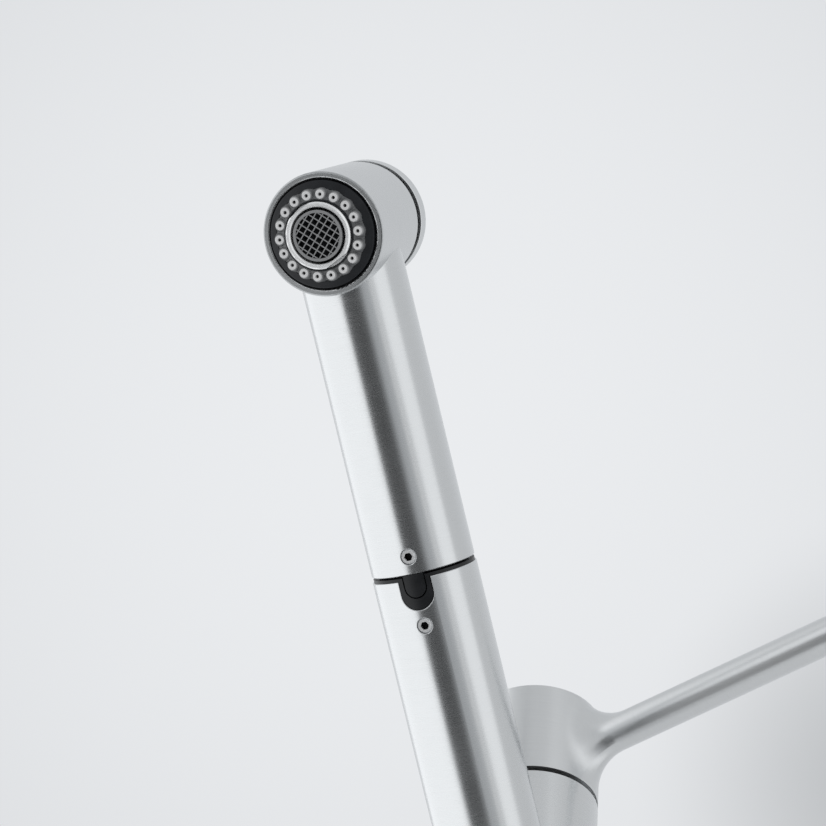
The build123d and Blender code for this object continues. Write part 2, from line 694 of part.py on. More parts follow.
# ---------------------------------------------------------------- turret, which turns with the lever
turret_r = mouth_r - TURRET_PLAY
turret_flange_top = CARTRIDGE_TOP_DEPTH + CARTRIDGE_LIP + TURRET_FLANGE_PLAY
turret_bottom = turret_flange_top + TURRET_FLANGE_H
lift_place = Plane(origin=at_pivot.origin, x_dir=at_pivot.x_dir, z_dir=at_pivot.y_dir)


def turret():
    body = cylinder(at_pivot, turret_r, -turret_bottom, TURRET_TOP)
    body += cylinder(at_pivot, neck_bore_r - TURRET_RIM_PLAY, -turret_bottom, -turret_flange_top)
    width = STEM_SIZE + 2 * TURRET_SLOT_PLAY
    body -= block(at_pivot, (2 * TURRET_SLOT_HALF, width, 2 * (turret_bottom + CUT)), (0, 0, 0))
    return body - lift_pin(STEM_PIN_R, turret_r + CUT)


def lift_pin(r, half):
    return cylinder(lift_place, r, -half, half)


parts["cartridge_turret"] = turret()
parts["stem_pin"] = lift_pin(STEM_PIN_R, turret_r - STEM_PIN_SHORT)

# ---------------------------------------------------------------- lever, which tilts in the turret


def stem():
    bar = block(at_pivot, (STEM_SIZE, STEM_SIZE, STEM_TOP + STEM_FOOT), (0, 0, (STEM_TOP - STEM_FOOT) / 2))
    eye = cylinder(lift_place, STEM_EYE_R, -STEM_SIZE / 2, STEM_SIZE / 2)
    arm = cylinder(at_pivot, STEM_ARM_R, -STEM_BALL_DEPTH, 0)
    ball = at_pivot * Pos(0, 0, -STEM_BALL_DEPTH) * Sphere(STEM_BALL_R)
    return bar + eye + arm + ball - lift_pin(STEM_PIN_R + STEM_PIN_PLAY, STEM_SIZE)


def lever_handle():
    """Hub cap with the rod growing out of it through a wide flare. Its cavity is spherical below the pivot."""
    facing_back = Plane(at_pivot * Rot(0, 0, 180))
    hub = cylinder(facing_back, column_r, -hub_bottom_depth, PIVOT_BELOW_TOP)
    hub = chamfer(hub.edges().group_by(Axis.Z)[-1], EDGE)
    along_rod = Plane(at_pivot * Pos(0, 0, PIVOT_BELOW_TOP - ROD_BELOW_TOP) * Rot(0, 90 - ROD_RISE, 0))
    axis = Axis(along_rod.origin, along_rod.z_dir)
    rod = cylinder(along_rod, ROD_OD / 2, 0, ROD_REACH)
    rod = fillet(rod.edges().sort_by(axis)[-1], ROD_TIP_FILLET)
    body = hub + rod
    # the curve where the rod leaves the hub is neither round nor straight and lies on the rod's surface
    root = [
        e
        for e in body.edges()
        if e.geom_type not in (GeomType.CIRCLE, GeomType.LINE)
        and abs(axis_distance(axis, e @ 0.25) - ROD_OD / 2) < 0.05
    ]
    body = fillet(root, ROD_FLARE_R)
    lower_half = cylinder(at_pivot, hub_bore_r + CUT, -hub_bottom_depth - CUT, 0)
    body -= at_pivot * Sphere(hub_bore_r) & lower_half
    body -= cylinder(at_pivot, hub_bore_r, 0, adapter_top)
    return body - cylinder(back_of_hub, SCREW_HOLE / 2, 0, column_r + CUT)


back_of_hub = Plane(
    origin=(at_pivot * Pos(0, 0, CLAMP_ABOVE_PIVOT)).position,
    x_dir=(0, 0, 1),
    z_dir=-at_pivot.x_dir,
)
adapter_top = PIVOT_BELOW_TOP - HUB_TOP_PLATE
adapter_bottom = adapter_top - ADAPTER_LENGTH
adapter_r = hub_bore_r - ADAPTER_GAP


def stem_adapter():
    """Insert in the hub that takes the stem's square end and the clamp screw."""
    body = cylinder(at_pivot, adapter_r, adapter_bottom, adapter_top)
    socket_depth = STEM_TOP + STEM_END_GAP - adapter_bottom
    body -= block(at_pivot, (STEM_SIZE, STEM_SIZE, 2 * socket_depth), (0, 0, adapter_bottom))
    return body - cylinder(back_of_hub, SCREW_OD / 2, 0, column_r)


parts["cartridge_stem"] = stem()
parts["lever_handle"] = lever_handle()
parts["stem_adapter"] = stem_adapter()
parts["lever_clamp_screw"] = set_screw(back_of_hub, STEM_SIZE / 2, adapter_r - CLAMP_RECESS)
parts["screw_plug"] = cylinder(
    back_of_hub, SCREW_HOLE / 2 - PLUG_PLAY, hub_bore_r + PLUG_RECESS, column_r - PLUG_RECESS
)

# ---------------------------------------------------------------- disc carrier, pushed by the stem's ball
disc_top = CARRIER_TOP_DEPTH + CARRIER_HEIGHT
disc_bottom = disc_top + DISC_HEIGHT
carrier_r = neck_bore_r - STEM_BALL_DEPTH * sin(radians(LIFT)) - CARRIER_PLAY


def disc_carrier():
    body = cylinder(at_pivot, carrier_r, -disc_top, -CARRIER_TOP_DEPTH)
    width = 2 * (STEM_BALL_R + POCKET_PLAY)
    floor = -STEM_BALL_DEPTH - STEM_BALL_R - POCKET_FLOOR_PLAY
    shoulder = -STEM_BALL_DEPTH + POCKET_SHOULDER
    mouth = -CARRIER_TOP_DEPTH + CUT
    body -= block(at_pivot, (width, width, shoulder - floor), (0, 0, (shoulder + floor) / 2))
    return body - block(at_pivot, (POCKET_MOUTH, width, mouth - shoulder), (0, 0, (mouth + shoulder) / 2))


parts["disc_carrier"] = disc_carrier()
parts["moving_disc"] = cylinder(at_pivot, carrier_r, -disc_bottom, -disc_top) - cylinder(
    at_pivot, DISC_WINDOW_R, -disc_bottom - CUT, -disc_bottom + DISC_WINDOW_DEPTH
)

# ---------------------------------------------------------------- handset
head_r = HEAD_OD / 2
head_bore_r = head_r - HEAD_WALL
handset_r = HANDSET_OD / 2
handset_bore_r = handset_r - HANDSET_WALL
face_edge = HEAD_FRONT + FACE_STANDS
face_edge_r = head_bore_r - FACE_GAP
aerator_r = AERATOR_OD / 2
thread_r = aerator_r - AERATOR_LEDGE
aerator_bore_r = thread_r - AERATOR_WALL
nozzle_circle_r = aerator_r + NOZZLES_OUT
face_peak = face_edge + FACE_PEAK
face_back = face_edge - FACE_DEPTH


def face_height(r):
    """Height of the face cone at the radius r."""
    return face_edge + FACE_PEAK * (face_edge_r - EDGE - r) / (face_edge_r - EDGE - aerator_r)


def handset_shell():
    along = Axis(along_head.origin, along_head.z_dir)
    shell = ring(along_head, head_r, head_bore_r, -HEAD_REAR, HEAD_FRONT)
    shell = chamfer(shell.edges().group_by(along)[0], EDGE)
    shell = fillet(shell.edges().group_by(along)[-1], HEAD_ROUND)
    shell += cylinder(along_tube, handset_r, 0, HANDSET_REACH)
    shell -= cylinder(along_head, head_bore_r, -HEAD_REAR, HEAD_FRONT - HEAD_ROUND)
    shell -= cylinder(along_tube, handset_bore_r, 0, HANDSET_REACH + CUT)
    shell -= screw_hole(HANDSET_REACH - UPPER_SCREW_ABOVE_RIM)
    return break_edges(shell, handset_r, HANDSET_REACH - UPPER_SCREW_ABOVE_RIM - SCREW_HOLE, HANDSET_REACH + CUT)


parts["handset_shell"] = handset_shell()

band_in = nozzle_circle_r - NOZZLE_BAND / 2
band_out = nozzle_circle_r + NOZZLE_BAND / 2
band_floor = face_height(band_out) - NOZZLE_BAND_DEPTH
aerator_top = face_peak + AERATOR_RISE
aerator_shoulder = aerator_top - AERATOR_RING_H
aerator_bottom = aerator_top - AERATOR_LENGTH
grille_r = aerator_bore_r - GRILLE_GAP
grille_top = aerator_top - GRILLE_SUNK
grille_bottom = grille_top - GRILLE_DEPTH


def on_nozzles(r, low, high, tip_r=None):
    """A cylinder or cone at each nozzle's place, from low to high along the head."""
    upright = (Align.CENTER, Align.CENTER, Align.MIN)
    peg = Cone(r, tip_r, high - low, align=upright) if tip_r else Cylinder(r, high - low, align=upright)
    turns = [360 * n / NOZZLES + NOZZLE_TURN for n in range(NOZZLES)]
    return [along_head * Rot(0, 0, turn) * Pos(nozzle_circle_r, 0, low) * peg for turn in turns]


def spray_face():
    """Black cone of the face with a groove for the soft nozzle ring."""
    plate = turned(
        along_head,
        (thread_r + SEAT, face_back),
        (head_bore_r - SEAT, face_back),
        (head_bore_r - SEAT, HEAD_FRONT - FACE_GROOVE),
        (face_edge_r, HEAD_FRONT - FACE_GROOVE),
        (face_edge_r, face_edge - EDGE),
        (face_edge_r - EDGE, face_edge),
        (band_out, face_height(band_out)),
        (band_out, band_floor),
        (band_in, band_floor),
        (band_in, face_height(band_in)),
        (aerator_r + FACE_AERATOR_GAP, face_height(aerator_r + FACE_AERATOR_GAP)),
        (aerator_r + FACE_AERATOR_GAP, aerator_shoulder - SEAT),
        (thread_r + SEAT, aerator_shoulder - SEAT),
    )
    for supply in on_nozzles(NOZZLE_SUPPLY_R, face_back - CUT, face_peak):
        plate -= supply
    return plate


def nozzle_ring():
    """Soft ring with all its nozzles in one moulding, inside its groove's walls below the face."""
    body = turned(
        along_head,
        (band_in, band_floor),
        (band_out, band_floor),
        (band_out, face_height(band_out) - NOZZLE_BAND_SUNK),
        (band_in, face_height(band_in) - NOZZLE_BAND_SUNK),
    )
    foot = face_height(nozzle_circle_r)
    tip = foot + NOZZLE_RISE
    for stem in on_nozzles(NOZZLE_BASE_R, band_floor, foot):
        body += stem
    for taper in on_nozzles(NOZZLE_BASE_R, foot, tip, NOZZLE_TIP_R):
        body += taper
    for bore in on_nozzles(NOZZLE_BORE_R, band_floor - CUT, tip + CUT):
        body -= bore
    return body - cylinder(along_head, band_in, band_floor - CUT, tip) - parts["spray_face"]


def aerator_ring():
    """Chrome screw ring around the outlet, with two flats for a key."""
    body = turned(
        along_head,
        (aerator_bore_r, aerator_bottom),
        (thread_r, aerator_bottom),
        (thread_r, aerator_shoulder),
        (aerator_r, aerator_shoulder),
        (aerator_r, aerator_top - AERATOR_CHAMFER),
        (aerator_r - AERATOR_CHAMFER, aerator_top),
        (aerator_bore_r + AERATOR_LEAD, aerator_top),
        (aerator_bore_r, aerator_top - AERATOR_LEAD),
    )
    cut = Box(AERATOR_OD, AERATOR_OD, 2 * (AERATOR_RING_H - SEAT))
    for side in (0, 180):
        flat = along_head * Rot(0, 0, AERATOR_FLATS_TURN + side)
        body -= flat * Pos(AERATOR_OD - AERATOR_FLAT_DEPTH, 0, aerator_top) * cut
    return body


def aerator_grille():
    """Grey outlet disc with a square mesh of thin bars."""
    rim_r = grille_r - GRILLE_RIM
    body = ring(along_head, grille_r, rim_r, grille_bottom - GRILLE_SKIRT, grille_top)
    bar_top = grille_top - GRILLE_BAR_SUNK
    for turn in (GRILLE_TURN, GRILLE_TURN + 90):
        for n in range(-GRILLE_BARS_EACH_SIDE, GRILLE_BARS_EACH_SIDE + 1):
            offset = n * GRILLE_PITCH
            length = 2 * sqrt(rim_r**2 - offset**2) + GRILLE_RIM
            bar = Box(length, GRILLE_BAR, bar_top - grille_bottom)
            body += along_head * Rot(0, 0, turn) * Pos(0, offset, (bar_top + grille_bottom) / 2) * bar
    return body + cylinder(along_head, GRILLE_BOSS_R, grille_bottom, grille_top)


parts["spray_face"] = spray_face()
parts["nozzle_ring"] = nozzle_ring()
parts["aerator_ring"] = aerator_ring()
parts["aerator_grille"] = aerator_grille()


def aerator_core():
    """Black jet plate and cage behind the grille, held in the screw ring."""
    body = cylinder(along_head, grille_r - GRILLE_RIM - SEAT, core_bottom, grille_bottom - GRILLE_SKIRT / 2)
    body += cylinder(along_head, aerator_bore_r - SEAT, core_bottom, core_bottom + CORE_FLANGE_H)
    hole = cylinder(along_head, CORE_HOLE_R, core_bottom - CUT, grille_bottom)
    for n in range(CORE_HOLES):
        out = along_head.location * Rot(0, 0, 360 * n / CORE_HOLES) * Pos(CORE_HOLE_CIRCLE_R, 0, 0)
        body -= out * along_head.location.inverse() * hole
    return body


chamber_floor = aerator_bottom - AERATOR_SEAL_REACH
core_bottom = chamber_floor + AERATOR_SEAL_H
parts["aerator_core"] = aerator_core()
parts["aerator_seal"] = ring(along_head, aerator_bore_r - SEAT, AERATOR_SEAL_BORE_R, chamber_floor, core_bottom)

bulkhead_front = -HEAD_REAR + BULKHEAD_THICKNESS
spindle_r = SPINDLE_OD / 2
water_tube_r = WATER_TUBE_OD / 2
water_tube_top = head_bore_r - SPRAY_BODY_BORE_DEPTH


def spray_body():
    """Plastic waterway in the head, with a bore for the diverter spindle and the aerator's chamber."""
    body = cylinder(along_head, head_bore_r - SEAT, bulkhead_front, face_back)
    body -= cylinder(along_head, spindle_r + SPINDLE_BORE_PLAY, bulkhead_front - CUT, SPINDLE_BORE_END)
    body -= cylinder(along_head, thread_r + JET_CHAMBER_PLAY, chamber_floor, face_back + CUT)
    body -= cylinder(along_head, JET_BORE_R, SPINDLE_BORE_END - CUT, face_back + CUT)
    body -= cylinder(along_tube, water_tube_r, water_tube_top, head_r + CUT)
    return body - cylinder(along_tube, WATER_BORE_R, 0, head_r)


parts["spray_body"] = spray_body()

# ---------------------------------------------------------------- diverter behind the head
button_front = -HEAD_REAR - BUTTON_TRAVEL - BUTTON_SPARE
button_back = button_front - BUTTON_THICKNESS
button_floor = button_back + BUTTON_WALL
spring_seat = -HEAD_REAR + SPRING_SEAT_DEPTH


def rear_bulkhead():
    """Black plate that closes the head's rear, guides the spindle and seats the spring."""
    plate = cylinder(along_head, head_bore_r - SEAT, -HEAD_REAR + BULKHEAD_RECESS, bulkhead_front)
    plate += ring(
        along_head, BULKHEAD_BOSS_R, BULKHEAD_BOSS_BORE, -HEAD_REAR - BULKHEAD_BOSS_H, -HEAD_REAR + BULKHEAD_RECESS
    )
    plate -= cylinder(along_head, spindle_r + SPINDLE_BORE_PLAY, -HEAD_REAR - CUT, bulkhead_front + CUT)
    return plate - ring(
        along_head, SPRING_R + SPRING_SEAT_PLAY, SPRING_R - SPRING_SEAT_PLAY, -HEAD_REAR, spring_seat
    )


def diverter_button():
    return turned(
        along_head,
        (0, button_back),
        (head_r - BUTTON_CHAMFER, button_back),
        (head_r, button_back + BUTTON_CHAMFER),
        (head_r, button_front - EDGE / 2),
        (head_r - EDGE / 2, button_front),
        (head_r - BUTTON_RIM, button_front),
        (head_r - BUTTON_WALL, button_front - BUTTON_MOUTH),
        (head_r - BUTTON_WALL, button_floor),
        (SPRING_R + SPRING_WIRE / 2, button_floor),
        (SPRING_R + SPRING_WIRE / 2, button_floor + BUTTON_BOSS_H),
        (spindle_r, button_floor + BUTTON_BOSS_H),
        (spindle_r, button_floor),
        (0, button_floor),
    )


spindle_tip = SPINDLE_BORE_END - BUTTON_TRAVEL - SPINDLE_END_GAP
front_seal = spindle_tip - SPINDLE_SEAL_IN
spindle_seals = (front_seal - SPINDLE_SEALS_APART, front_seal)
seal_centre_r = spindle_r + SPINDLE_BORE_PLAY - SEAL_RUN - SEAL_CORD / 2


def diverter_spindle():
    body = cylinder(along_head, spindle_r, button_floor, spindle_tip)
    for z in spindle_seals:
        body -= seal_groove(along_head, seal_centre_r - SEAL_CORD / 2, spindle_r + CUT, z)
    return body


def button_spring():
    """Open coil between the bulkhead and the button."""
    low = button_floor + BUTTON_BOSS_H + SPRING_WIRE / 2 + SPRING_END_GAP
    high = spring_seat - SPRING_WIRE / 2 - SPRING_END_GAP
    path = Helix(pitch=(high - low) / SPRING_TURNS, height=high - low, radius=SPRING_R)
    section = Plane(origin=path @ 0, z_dir=path % 0) * Circle(SPRING_WIRE / 2)
    return along_head * Pos(0, 0, low) * sweep(section, path=path, is_frenet=True)


parts["rear_bulkhead"] = rear_bulkhead()
parts["diverter_button"] = diverter_button()
parts["diverter_spindle"] = diverter_spindle()
parts["spindle_seals"] = Compound(children=[o_ring(along_head, seal_centre_r, z) for z in spindle_seals])
parts["button_spring"] = button_spring()

# ---------------------------------------------------------------- water tube, spigot, check valve
spigot_top = HANDSET_REACH - SPIGOT_ABOVE_RIM
neck_end = spigot_top + SPIGOT_NECK
spigot_bottom = HANDSET_REACH + SPIGOT_BELOW_RIM
shoulder = liner_top - SHOULDER_GAP
thread_top = spigot_bottom - HOSE_THREAD_DEPTH
valve_top = thread_top - VALVE_LENGTH
upper_screw = front_of_tube(HANDSET_REACH - UPPER_SCREW_ABOVE_RIM)
upper_screw_tip = VALVE_OD / 2 + SCREW_LAND
spigot_seal_s = spigot_bottom - SPIGOT_SEAL_UP
spigot_seal_r = liner_bore_r - SEAL_RUN - SEAL_CORD / 2

parts["water_tube"] = ring(along_tube, water_tube_r, WATER_TUBE_BORE / 2, water_tube_top, neck_end)


def docking_spigot():
    """Black plug in the handset's lower end, with the hose thread and the tongue that keys it in the dock."""
    body = turned(
        along_tube,
        (HOSE_THREAD_R, spigot_bottom),
        (spigot_r - SPIGOT_TAPER, spigot_bottom),
        (spigot_r, spigot_bottom - 2 * SPIGOT_TAPER),
        (spigot_r, shoulder),
        (handset_bore_r - SEAT, shoulder),
        (handset_bore_r - SEAT, spigot_top),
        (water_tube_r, spigot_top),
        (water_tube_r, neck_end),
        (WATER_TUBE_BORE / 2, neck_end),
        (WATER_TUBE_BORE / 2, valve_top),
        (VALVE_OD / 2 + SEAT, valve_top),
        (VALVE_OD / 2 + SEAT, thread_top),
        (HOSE_THREAD_R, thread_top),
    )
    tongue = slot(TONGUE_WIDTH, TONGUE_LENGTH, 0, HANDSET_REACH)
    tongue_top = HANDSET_REACH + TONGUE_TOP_GAP
    tongue &= ring(along_tube, spout_r - TONGUE_SUNK, spigot_r - TONGUE_ROOT, tongue_top, spigot_bottom)
    body += tongue
    body -= cylinder(upper_screw, SCREW_OD / 2, upper_screw_tip, spout_r)
    return body - seal_groove(along_tube, spigot_seal_r - SEAL_CORD / 2, spigot_r + CUT, spigot_seal_s)


parts["docking_spigot"] = docking_spigot()
parts["spigot_seal"] = o_ring(along_tube, spigot_seal_r, spigot_seal_s)
parts["handset_set_screw"] = set_screw(upper_screw, upper_screw_tip, handset_r - SCREW_RECESS)
parts["check_valve"] = turned(
    along_tube,
    (0, thread_top - VALVE_CORE_IN),
    (VALVE_CORE_R, thread_top - VALVE_CORE_IN),
    (VALVE_CORE_R, thread_top),
    (VALVE_OD / 2, thread_top),
    (VALVE_OD / 2, valve_top),
    (VALVE_CORE_R, valve_top),
    (VALVE_CORE_R, valve_top + VALVE_CORE_TOP),
    (0, valve_top + VALVE_CORE_TOP),
)

# ---------------------------------------------------------------- write every node
os.makedirs("parts", exist_ok=True)
for name, shape in parts.items():
    solid = one(shape)
    solid.label = name
    export_step(solid, f"parts/{name}.step")
    print(f"{name}: {len(solid.solids())} solid, {solid.volume:.0f} mm3")
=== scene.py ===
# %% [markdown]
# # A kitchen faucet with a pull-out spray
#
# The faucet is a slanted brushed steel tube with a short crosswise head. The head and the upper tube are one handset,
# which pulls out of the lower tube. A lever with a thin rod sits on the upright body. The CAD frame already holds
# every piece, so this script finishes them and adds what a solid model leaves out.

# %% Load the frame
import json
from math import cos, pi, radians, sin, tau

import bpy
import numpy as np
from mathutils import Matrix, Vector

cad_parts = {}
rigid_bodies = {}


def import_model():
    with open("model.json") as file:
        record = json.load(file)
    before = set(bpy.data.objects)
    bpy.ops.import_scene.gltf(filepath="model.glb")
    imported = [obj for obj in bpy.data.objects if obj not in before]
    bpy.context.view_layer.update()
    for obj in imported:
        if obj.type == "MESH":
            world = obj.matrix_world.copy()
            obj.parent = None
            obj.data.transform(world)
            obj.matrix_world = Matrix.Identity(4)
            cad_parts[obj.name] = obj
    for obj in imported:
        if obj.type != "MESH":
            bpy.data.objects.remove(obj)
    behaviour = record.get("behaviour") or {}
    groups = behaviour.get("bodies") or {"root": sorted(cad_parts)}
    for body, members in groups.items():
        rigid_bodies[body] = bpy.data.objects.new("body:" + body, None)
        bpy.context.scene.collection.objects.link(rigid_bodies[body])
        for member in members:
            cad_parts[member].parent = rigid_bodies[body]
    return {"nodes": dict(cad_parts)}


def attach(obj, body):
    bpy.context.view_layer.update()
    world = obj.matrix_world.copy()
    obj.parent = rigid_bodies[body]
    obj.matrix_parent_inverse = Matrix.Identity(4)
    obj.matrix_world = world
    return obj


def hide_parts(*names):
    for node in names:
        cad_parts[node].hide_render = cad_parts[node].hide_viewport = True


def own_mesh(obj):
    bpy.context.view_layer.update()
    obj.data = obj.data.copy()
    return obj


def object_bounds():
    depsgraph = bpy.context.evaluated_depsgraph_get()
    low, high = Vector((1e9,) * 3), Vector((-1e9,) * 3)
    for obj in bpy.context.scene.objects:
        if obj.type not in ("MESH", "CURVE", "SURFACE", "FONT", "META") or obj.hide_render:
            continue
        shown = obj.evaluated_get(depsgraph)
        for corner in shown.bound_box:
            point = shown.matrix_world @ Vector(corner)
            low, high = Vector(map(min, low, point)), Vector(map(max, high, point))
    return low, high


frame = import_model()
cad_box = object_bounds()

# %% [markdown]
# ## Where things are
#
# The whole faucet hangs on four straight lines: the upright body, the slanted tube, the head across its top end, and
# the lever's rod. Patterns such as brushing run round these lines, so each is written down once, in metres, as an
# origin and three directions. The third direction is the line itself.

# %% The faucet's own lines
SLANT = radians(40)  # the tube above the horizontal
HEAD_CENTRE = np.array([0, -0.19733, 0.25058])  # where the head's line crosses the tube's
HUB_TOP = 0.1947
ROD_ROOT_DEPTH = 0.0209  # the rod's line meets the body's this far below the hub's top
ROD_RISE, ROD_HEADING = radians(10), radians(-10)

ACROSS = np.array([1.0, 0, 0])
DOWN_THE_TUBE = np.array([0, cos(SLANT), -sin(SLANT)])
OUT_OF_THE_FACE = np.array([0, -sin(SLANT), -cos(SLANT)])


def line(origin, along, side):
    """An origin and three directions: side, the one square to both, and along."""
    along, side = np.array(along, float), np.array(side, float)
    return {"origin": np.array(origin, float), "turn": np.array([side, np.cross(along, side), along])}


TUBE = line(HEAD_CENTRE, DOWN_THE_TUBE, ACROSS)
HEAD = line(HEAD_CENTRE, OUT_OF_THE_FACE, ACROSS)
BODY = line((0, 0, 0), (0, 0, 1), ACROSS)
ROD = line(
    (0, 0, HUB_TOP - ROD_ROOT_DEPTH),
    (cos(ROD_RISE) * cos(ROD_HEADING), cos(ROD_RISE) * sin(ROD_HEADING), sin(ROD_RISE)),
    (-sin(ROD_HEADING), cos(ROD_HEADING), 0),
)
print("the head's centre", HEAD_CENTRE, "the rod points", ROD["turn"][2].round(3))


# %% Points in a line's own measures
def place(at, x, y, z):
    """origin + x side + y square + z along, for whole arrays."""
    parts = [np.asarray(v, float)[..., None] * d for v, d in zip((x, y, z), at["turn"])]
    return at["origin"] + parts[0] + parts[1] + parts[2]


print("0.1 m down the tube", place(TUBE, 0, 0, 0.1).round(4))

# %% [markdown]
# ## The camera
#
# The picture looks up at the spray face from below and in front, with a long lens, so the tube hardly tapers.
# The numbers come from fitting the round edges of the head and the straight edges of the tube.

# %% Camera
LENS, SENSOR = 146.22, 36.0
CAMERA_PLACE = HEAD_CENTRE + np.array([0.337213, -0.683485, -0.775482])
CAMERA_RIGHT = np.array([0.932199, 0.356738, 0.061187])
CAMERA_UP = np.array([0.199708, -0.647935, 0.735049])
VIEW = np.cross(CAMERA_UP, CAMERA_RIGHT)  # the way the camera looks


def set_camera():
    data = bpy.data.cameras.new("camera")
    data.lens, data.sensor_width = LENS, SENSOR
    data.clip_start, data.clip_end = 0.01, 100
    camera = bpy.data.objects.new("camera", data)
    bpy.context.scene.collection.objects.link(camera)
    right = Vector(CAMERA_RIGHT).normalized()
    back = right.cross(Vector(CAMERA_UP)).normalized()
    up = back.cross(right)
    turn = Matrix((right, up, back)).transposed().to_4x4()
    camera.matrix_world = Matrix.Translation(CAMERA_PLACE) @ turn
    bpy.context.scene.camera = camera


set_camera()
bpy.context.scene.view_settings.view_transform = "Standard"
print("camera at", CAMERA_PLACE.round(3), "looks along", VIEW.round(3))

# %% [markdown]
# ## Small helpers for nodes
#
# Every finish below is a network of nodes. One helper adds a node, sets what it is told, and joins each input to
# another node's output or gives it a plain value, so a network reads from top to bottom like a recipe.


# %% Node helpers
def node(tree, kind, inputs=None, **settings):
    """Adds a node. Inputs are names or numbers of sockets, each with a value or an output socket to join."""
    made = tree.nodes.new(kind)
    for name, value in settings.items():
        setattr(made, name, value)
    for name, value in (inputs or {}).items():
        if isinstance(value, bpy.types.NodeSocket):
            tree.links.new(value, made.inputs[name])
        else:
            made.inputs[name].default_value = value
    return made


def maths(tree, operation, *values, clamp=False):
    inputs = dict(enumerate(values))
    return node(tree, "ShaderNodeMath", inputs, operation=operation, use_clamp=clamp).outputs[0]


def vectors(tree, operation, *values):
    made = node(tree, "ShaderNodeVectorMath", dict(enumerate(values)), operation=operation)
    return made.outputs["Value" if operation in ("LENGTH", "DOT_PRODUCT") else "Vector"]


def span(tree, value, low, high, out_low=0.0, out_high=1.0):
    """The value's share of the way from low to high, held between them, laid out from out_low to out_high."""
    inputs = {"Value": value, "From Min": low, "From Max": high, "To Min": out_low, "To Max": out_high}
    return node(tree, "ShaderNodeMapRange", inputs, clamp=True).outputs["Result"]


def blend_colours(tree, share, first, second):
    made = node(tree, "ShaderNodeMix", data_type="RGBA")
    for socket, value in ((made.inputs[0], share), (made.inputs[6], first), (made.inputs[7], second)):
        if isinstance(value, bpy.types.NodeSocket):
            tree.links.new(value, socket)
        else:
            socket.default_value = value if isinstance(value, float) else (*value, 1)
    return made.outputs[2]


def blend_vectors(tree, share, first, second):
    return node(tree, "ShaderNodeMix", {0: share, 4: first, 5: second}, data_type="VECTOR").outputs[1]


print("node helpers ready")


# %% Places on a piece
def object_place(tree):
    return node(tree, "ShaderNodeTexCoord").outputs["Object"]


def own_measures(tree, at):
    """Object coordinates turned and moved so that Z runs along one of the faucet's lines."""
    turn = Matrix([list(d) for d in at["turn"]]).transposed().to_euler()
    inputs = {"Vector": object_place(tree), "Location": list(at["origin"]), "Rotation": list(turn)}
    return node(tree, "ShaderNodeMapping", inputs, vector_type="TEXTURE").outputs["Vector"]


def arm_and_height(tree, position):
    """A place in a line's own measures: the arm that reaches it straight from the line, and its height along."""
    parts = node(tree, "ShaderNodeSeparateXYZ", {0: position}).outputs
    arm = node(tree, "ShaderNodeCombineXYZ", {0: parts[0], 1: parts[1]}).outputs[0]
    return arm, parts[2]


print("place helpers ready")


# %% Groups and materials
def new_group(name, inputs, outputs):
    """A shader node group with named sockets, and its input and output nodes."""
    group = bpy.data.node_groups.new(name, "ShaderNodeTree")
    for title, kind, value in inputs:
        socket = group.interface.new_socket(title, in_out="INPUT", socket_type=kind)
        if value is not None:
            socket.default_value = value
    for title, kind in outputs:
        group.interface.new_socket(title, in_out="OUTPUT", socket_type=kind)
    return group, node(group, "NodeGroupInput").outputs, node(group, "NodeGroupOutput")


def use_group(tree, group, **inputs):
    """A group's outputs, with its inputs given by name, such as Scratch_Width=0.0002."""
    made = node(tree, "ShaderNodeGroup", node_tree=group)
    for name, value in inputs.items():
        socket = made.inputs[name.replace("_", " ")]
        if isinstance(value, bpy.types.NodeSocket):
            tree.links.new(value, socket)
        else:
            socket.default_value = value
    return made.outputs


def new_material(name, **values):
    """A material with its shader's plain values set, such as Metallic=1.0 or Coat_Weight=0.2."""
    material = bpy.data.materials.new(name)
    material.use_nodes = True
    shader = material.node_tree.nodes["Principled BSDF"]
    for key, value in values.items():
        shader.inputs[key.replace("_", " ")].default_value = value
    return material, material.node_tree, shader


SOFT_RELIEF, FIRM_RELIEF = 0.4, 0.5  # strengths for the node that turns a pattern into relief


def add_relief(tree, shader, height, distance, strength):
    relief = node(tree, "ShaderNodeBump", {"Height": height, "Distance": distance, "Strength": strength})
    tree.links.new(relief.outputs[0], shader.inputs["Normal"])


print("group and material helpers ready")

# %% [markdown]
# ## The studio
#
# Brushed steel shows the room more than its own colour. The picture has a broad white panel at the left, a dark
# gap where the photographer stands, and a weaker panel at the right. The panels are area lamps, the dark gap is a
# card that only reflections see, and everything else is a pale surrounding.

# %% Surroundings
BACKDROP, BACKDROP_EDGE = (0.825, 0.84, 0.86), (0.74, 0.755, 0.775)
BACKDROP_FADES = radians(1), radians(10)  # off the middle of the view
BESIDE_IT = (0.69, 0.70, 0.71)  # the room further round, which reflections show
ROOM_FADES = 0.4, 0.97  # the cosines off the middle of the view between which the room turns into the backdrop
# The soft grey patch is a painted shadow: the lever rod's shadow on the backdrop, put into the backdrop's colour.
SHADE, SHADE_REACH = (0.50, 0.515, 0.53), radians(5.0)  # a soft grey patch of the backdrop
SHADE_PLACE = (0.150, -0.112)  # right and up of the view's middle
SURROUND_ON_MATT = 0.70  # the even light on matt surfaces


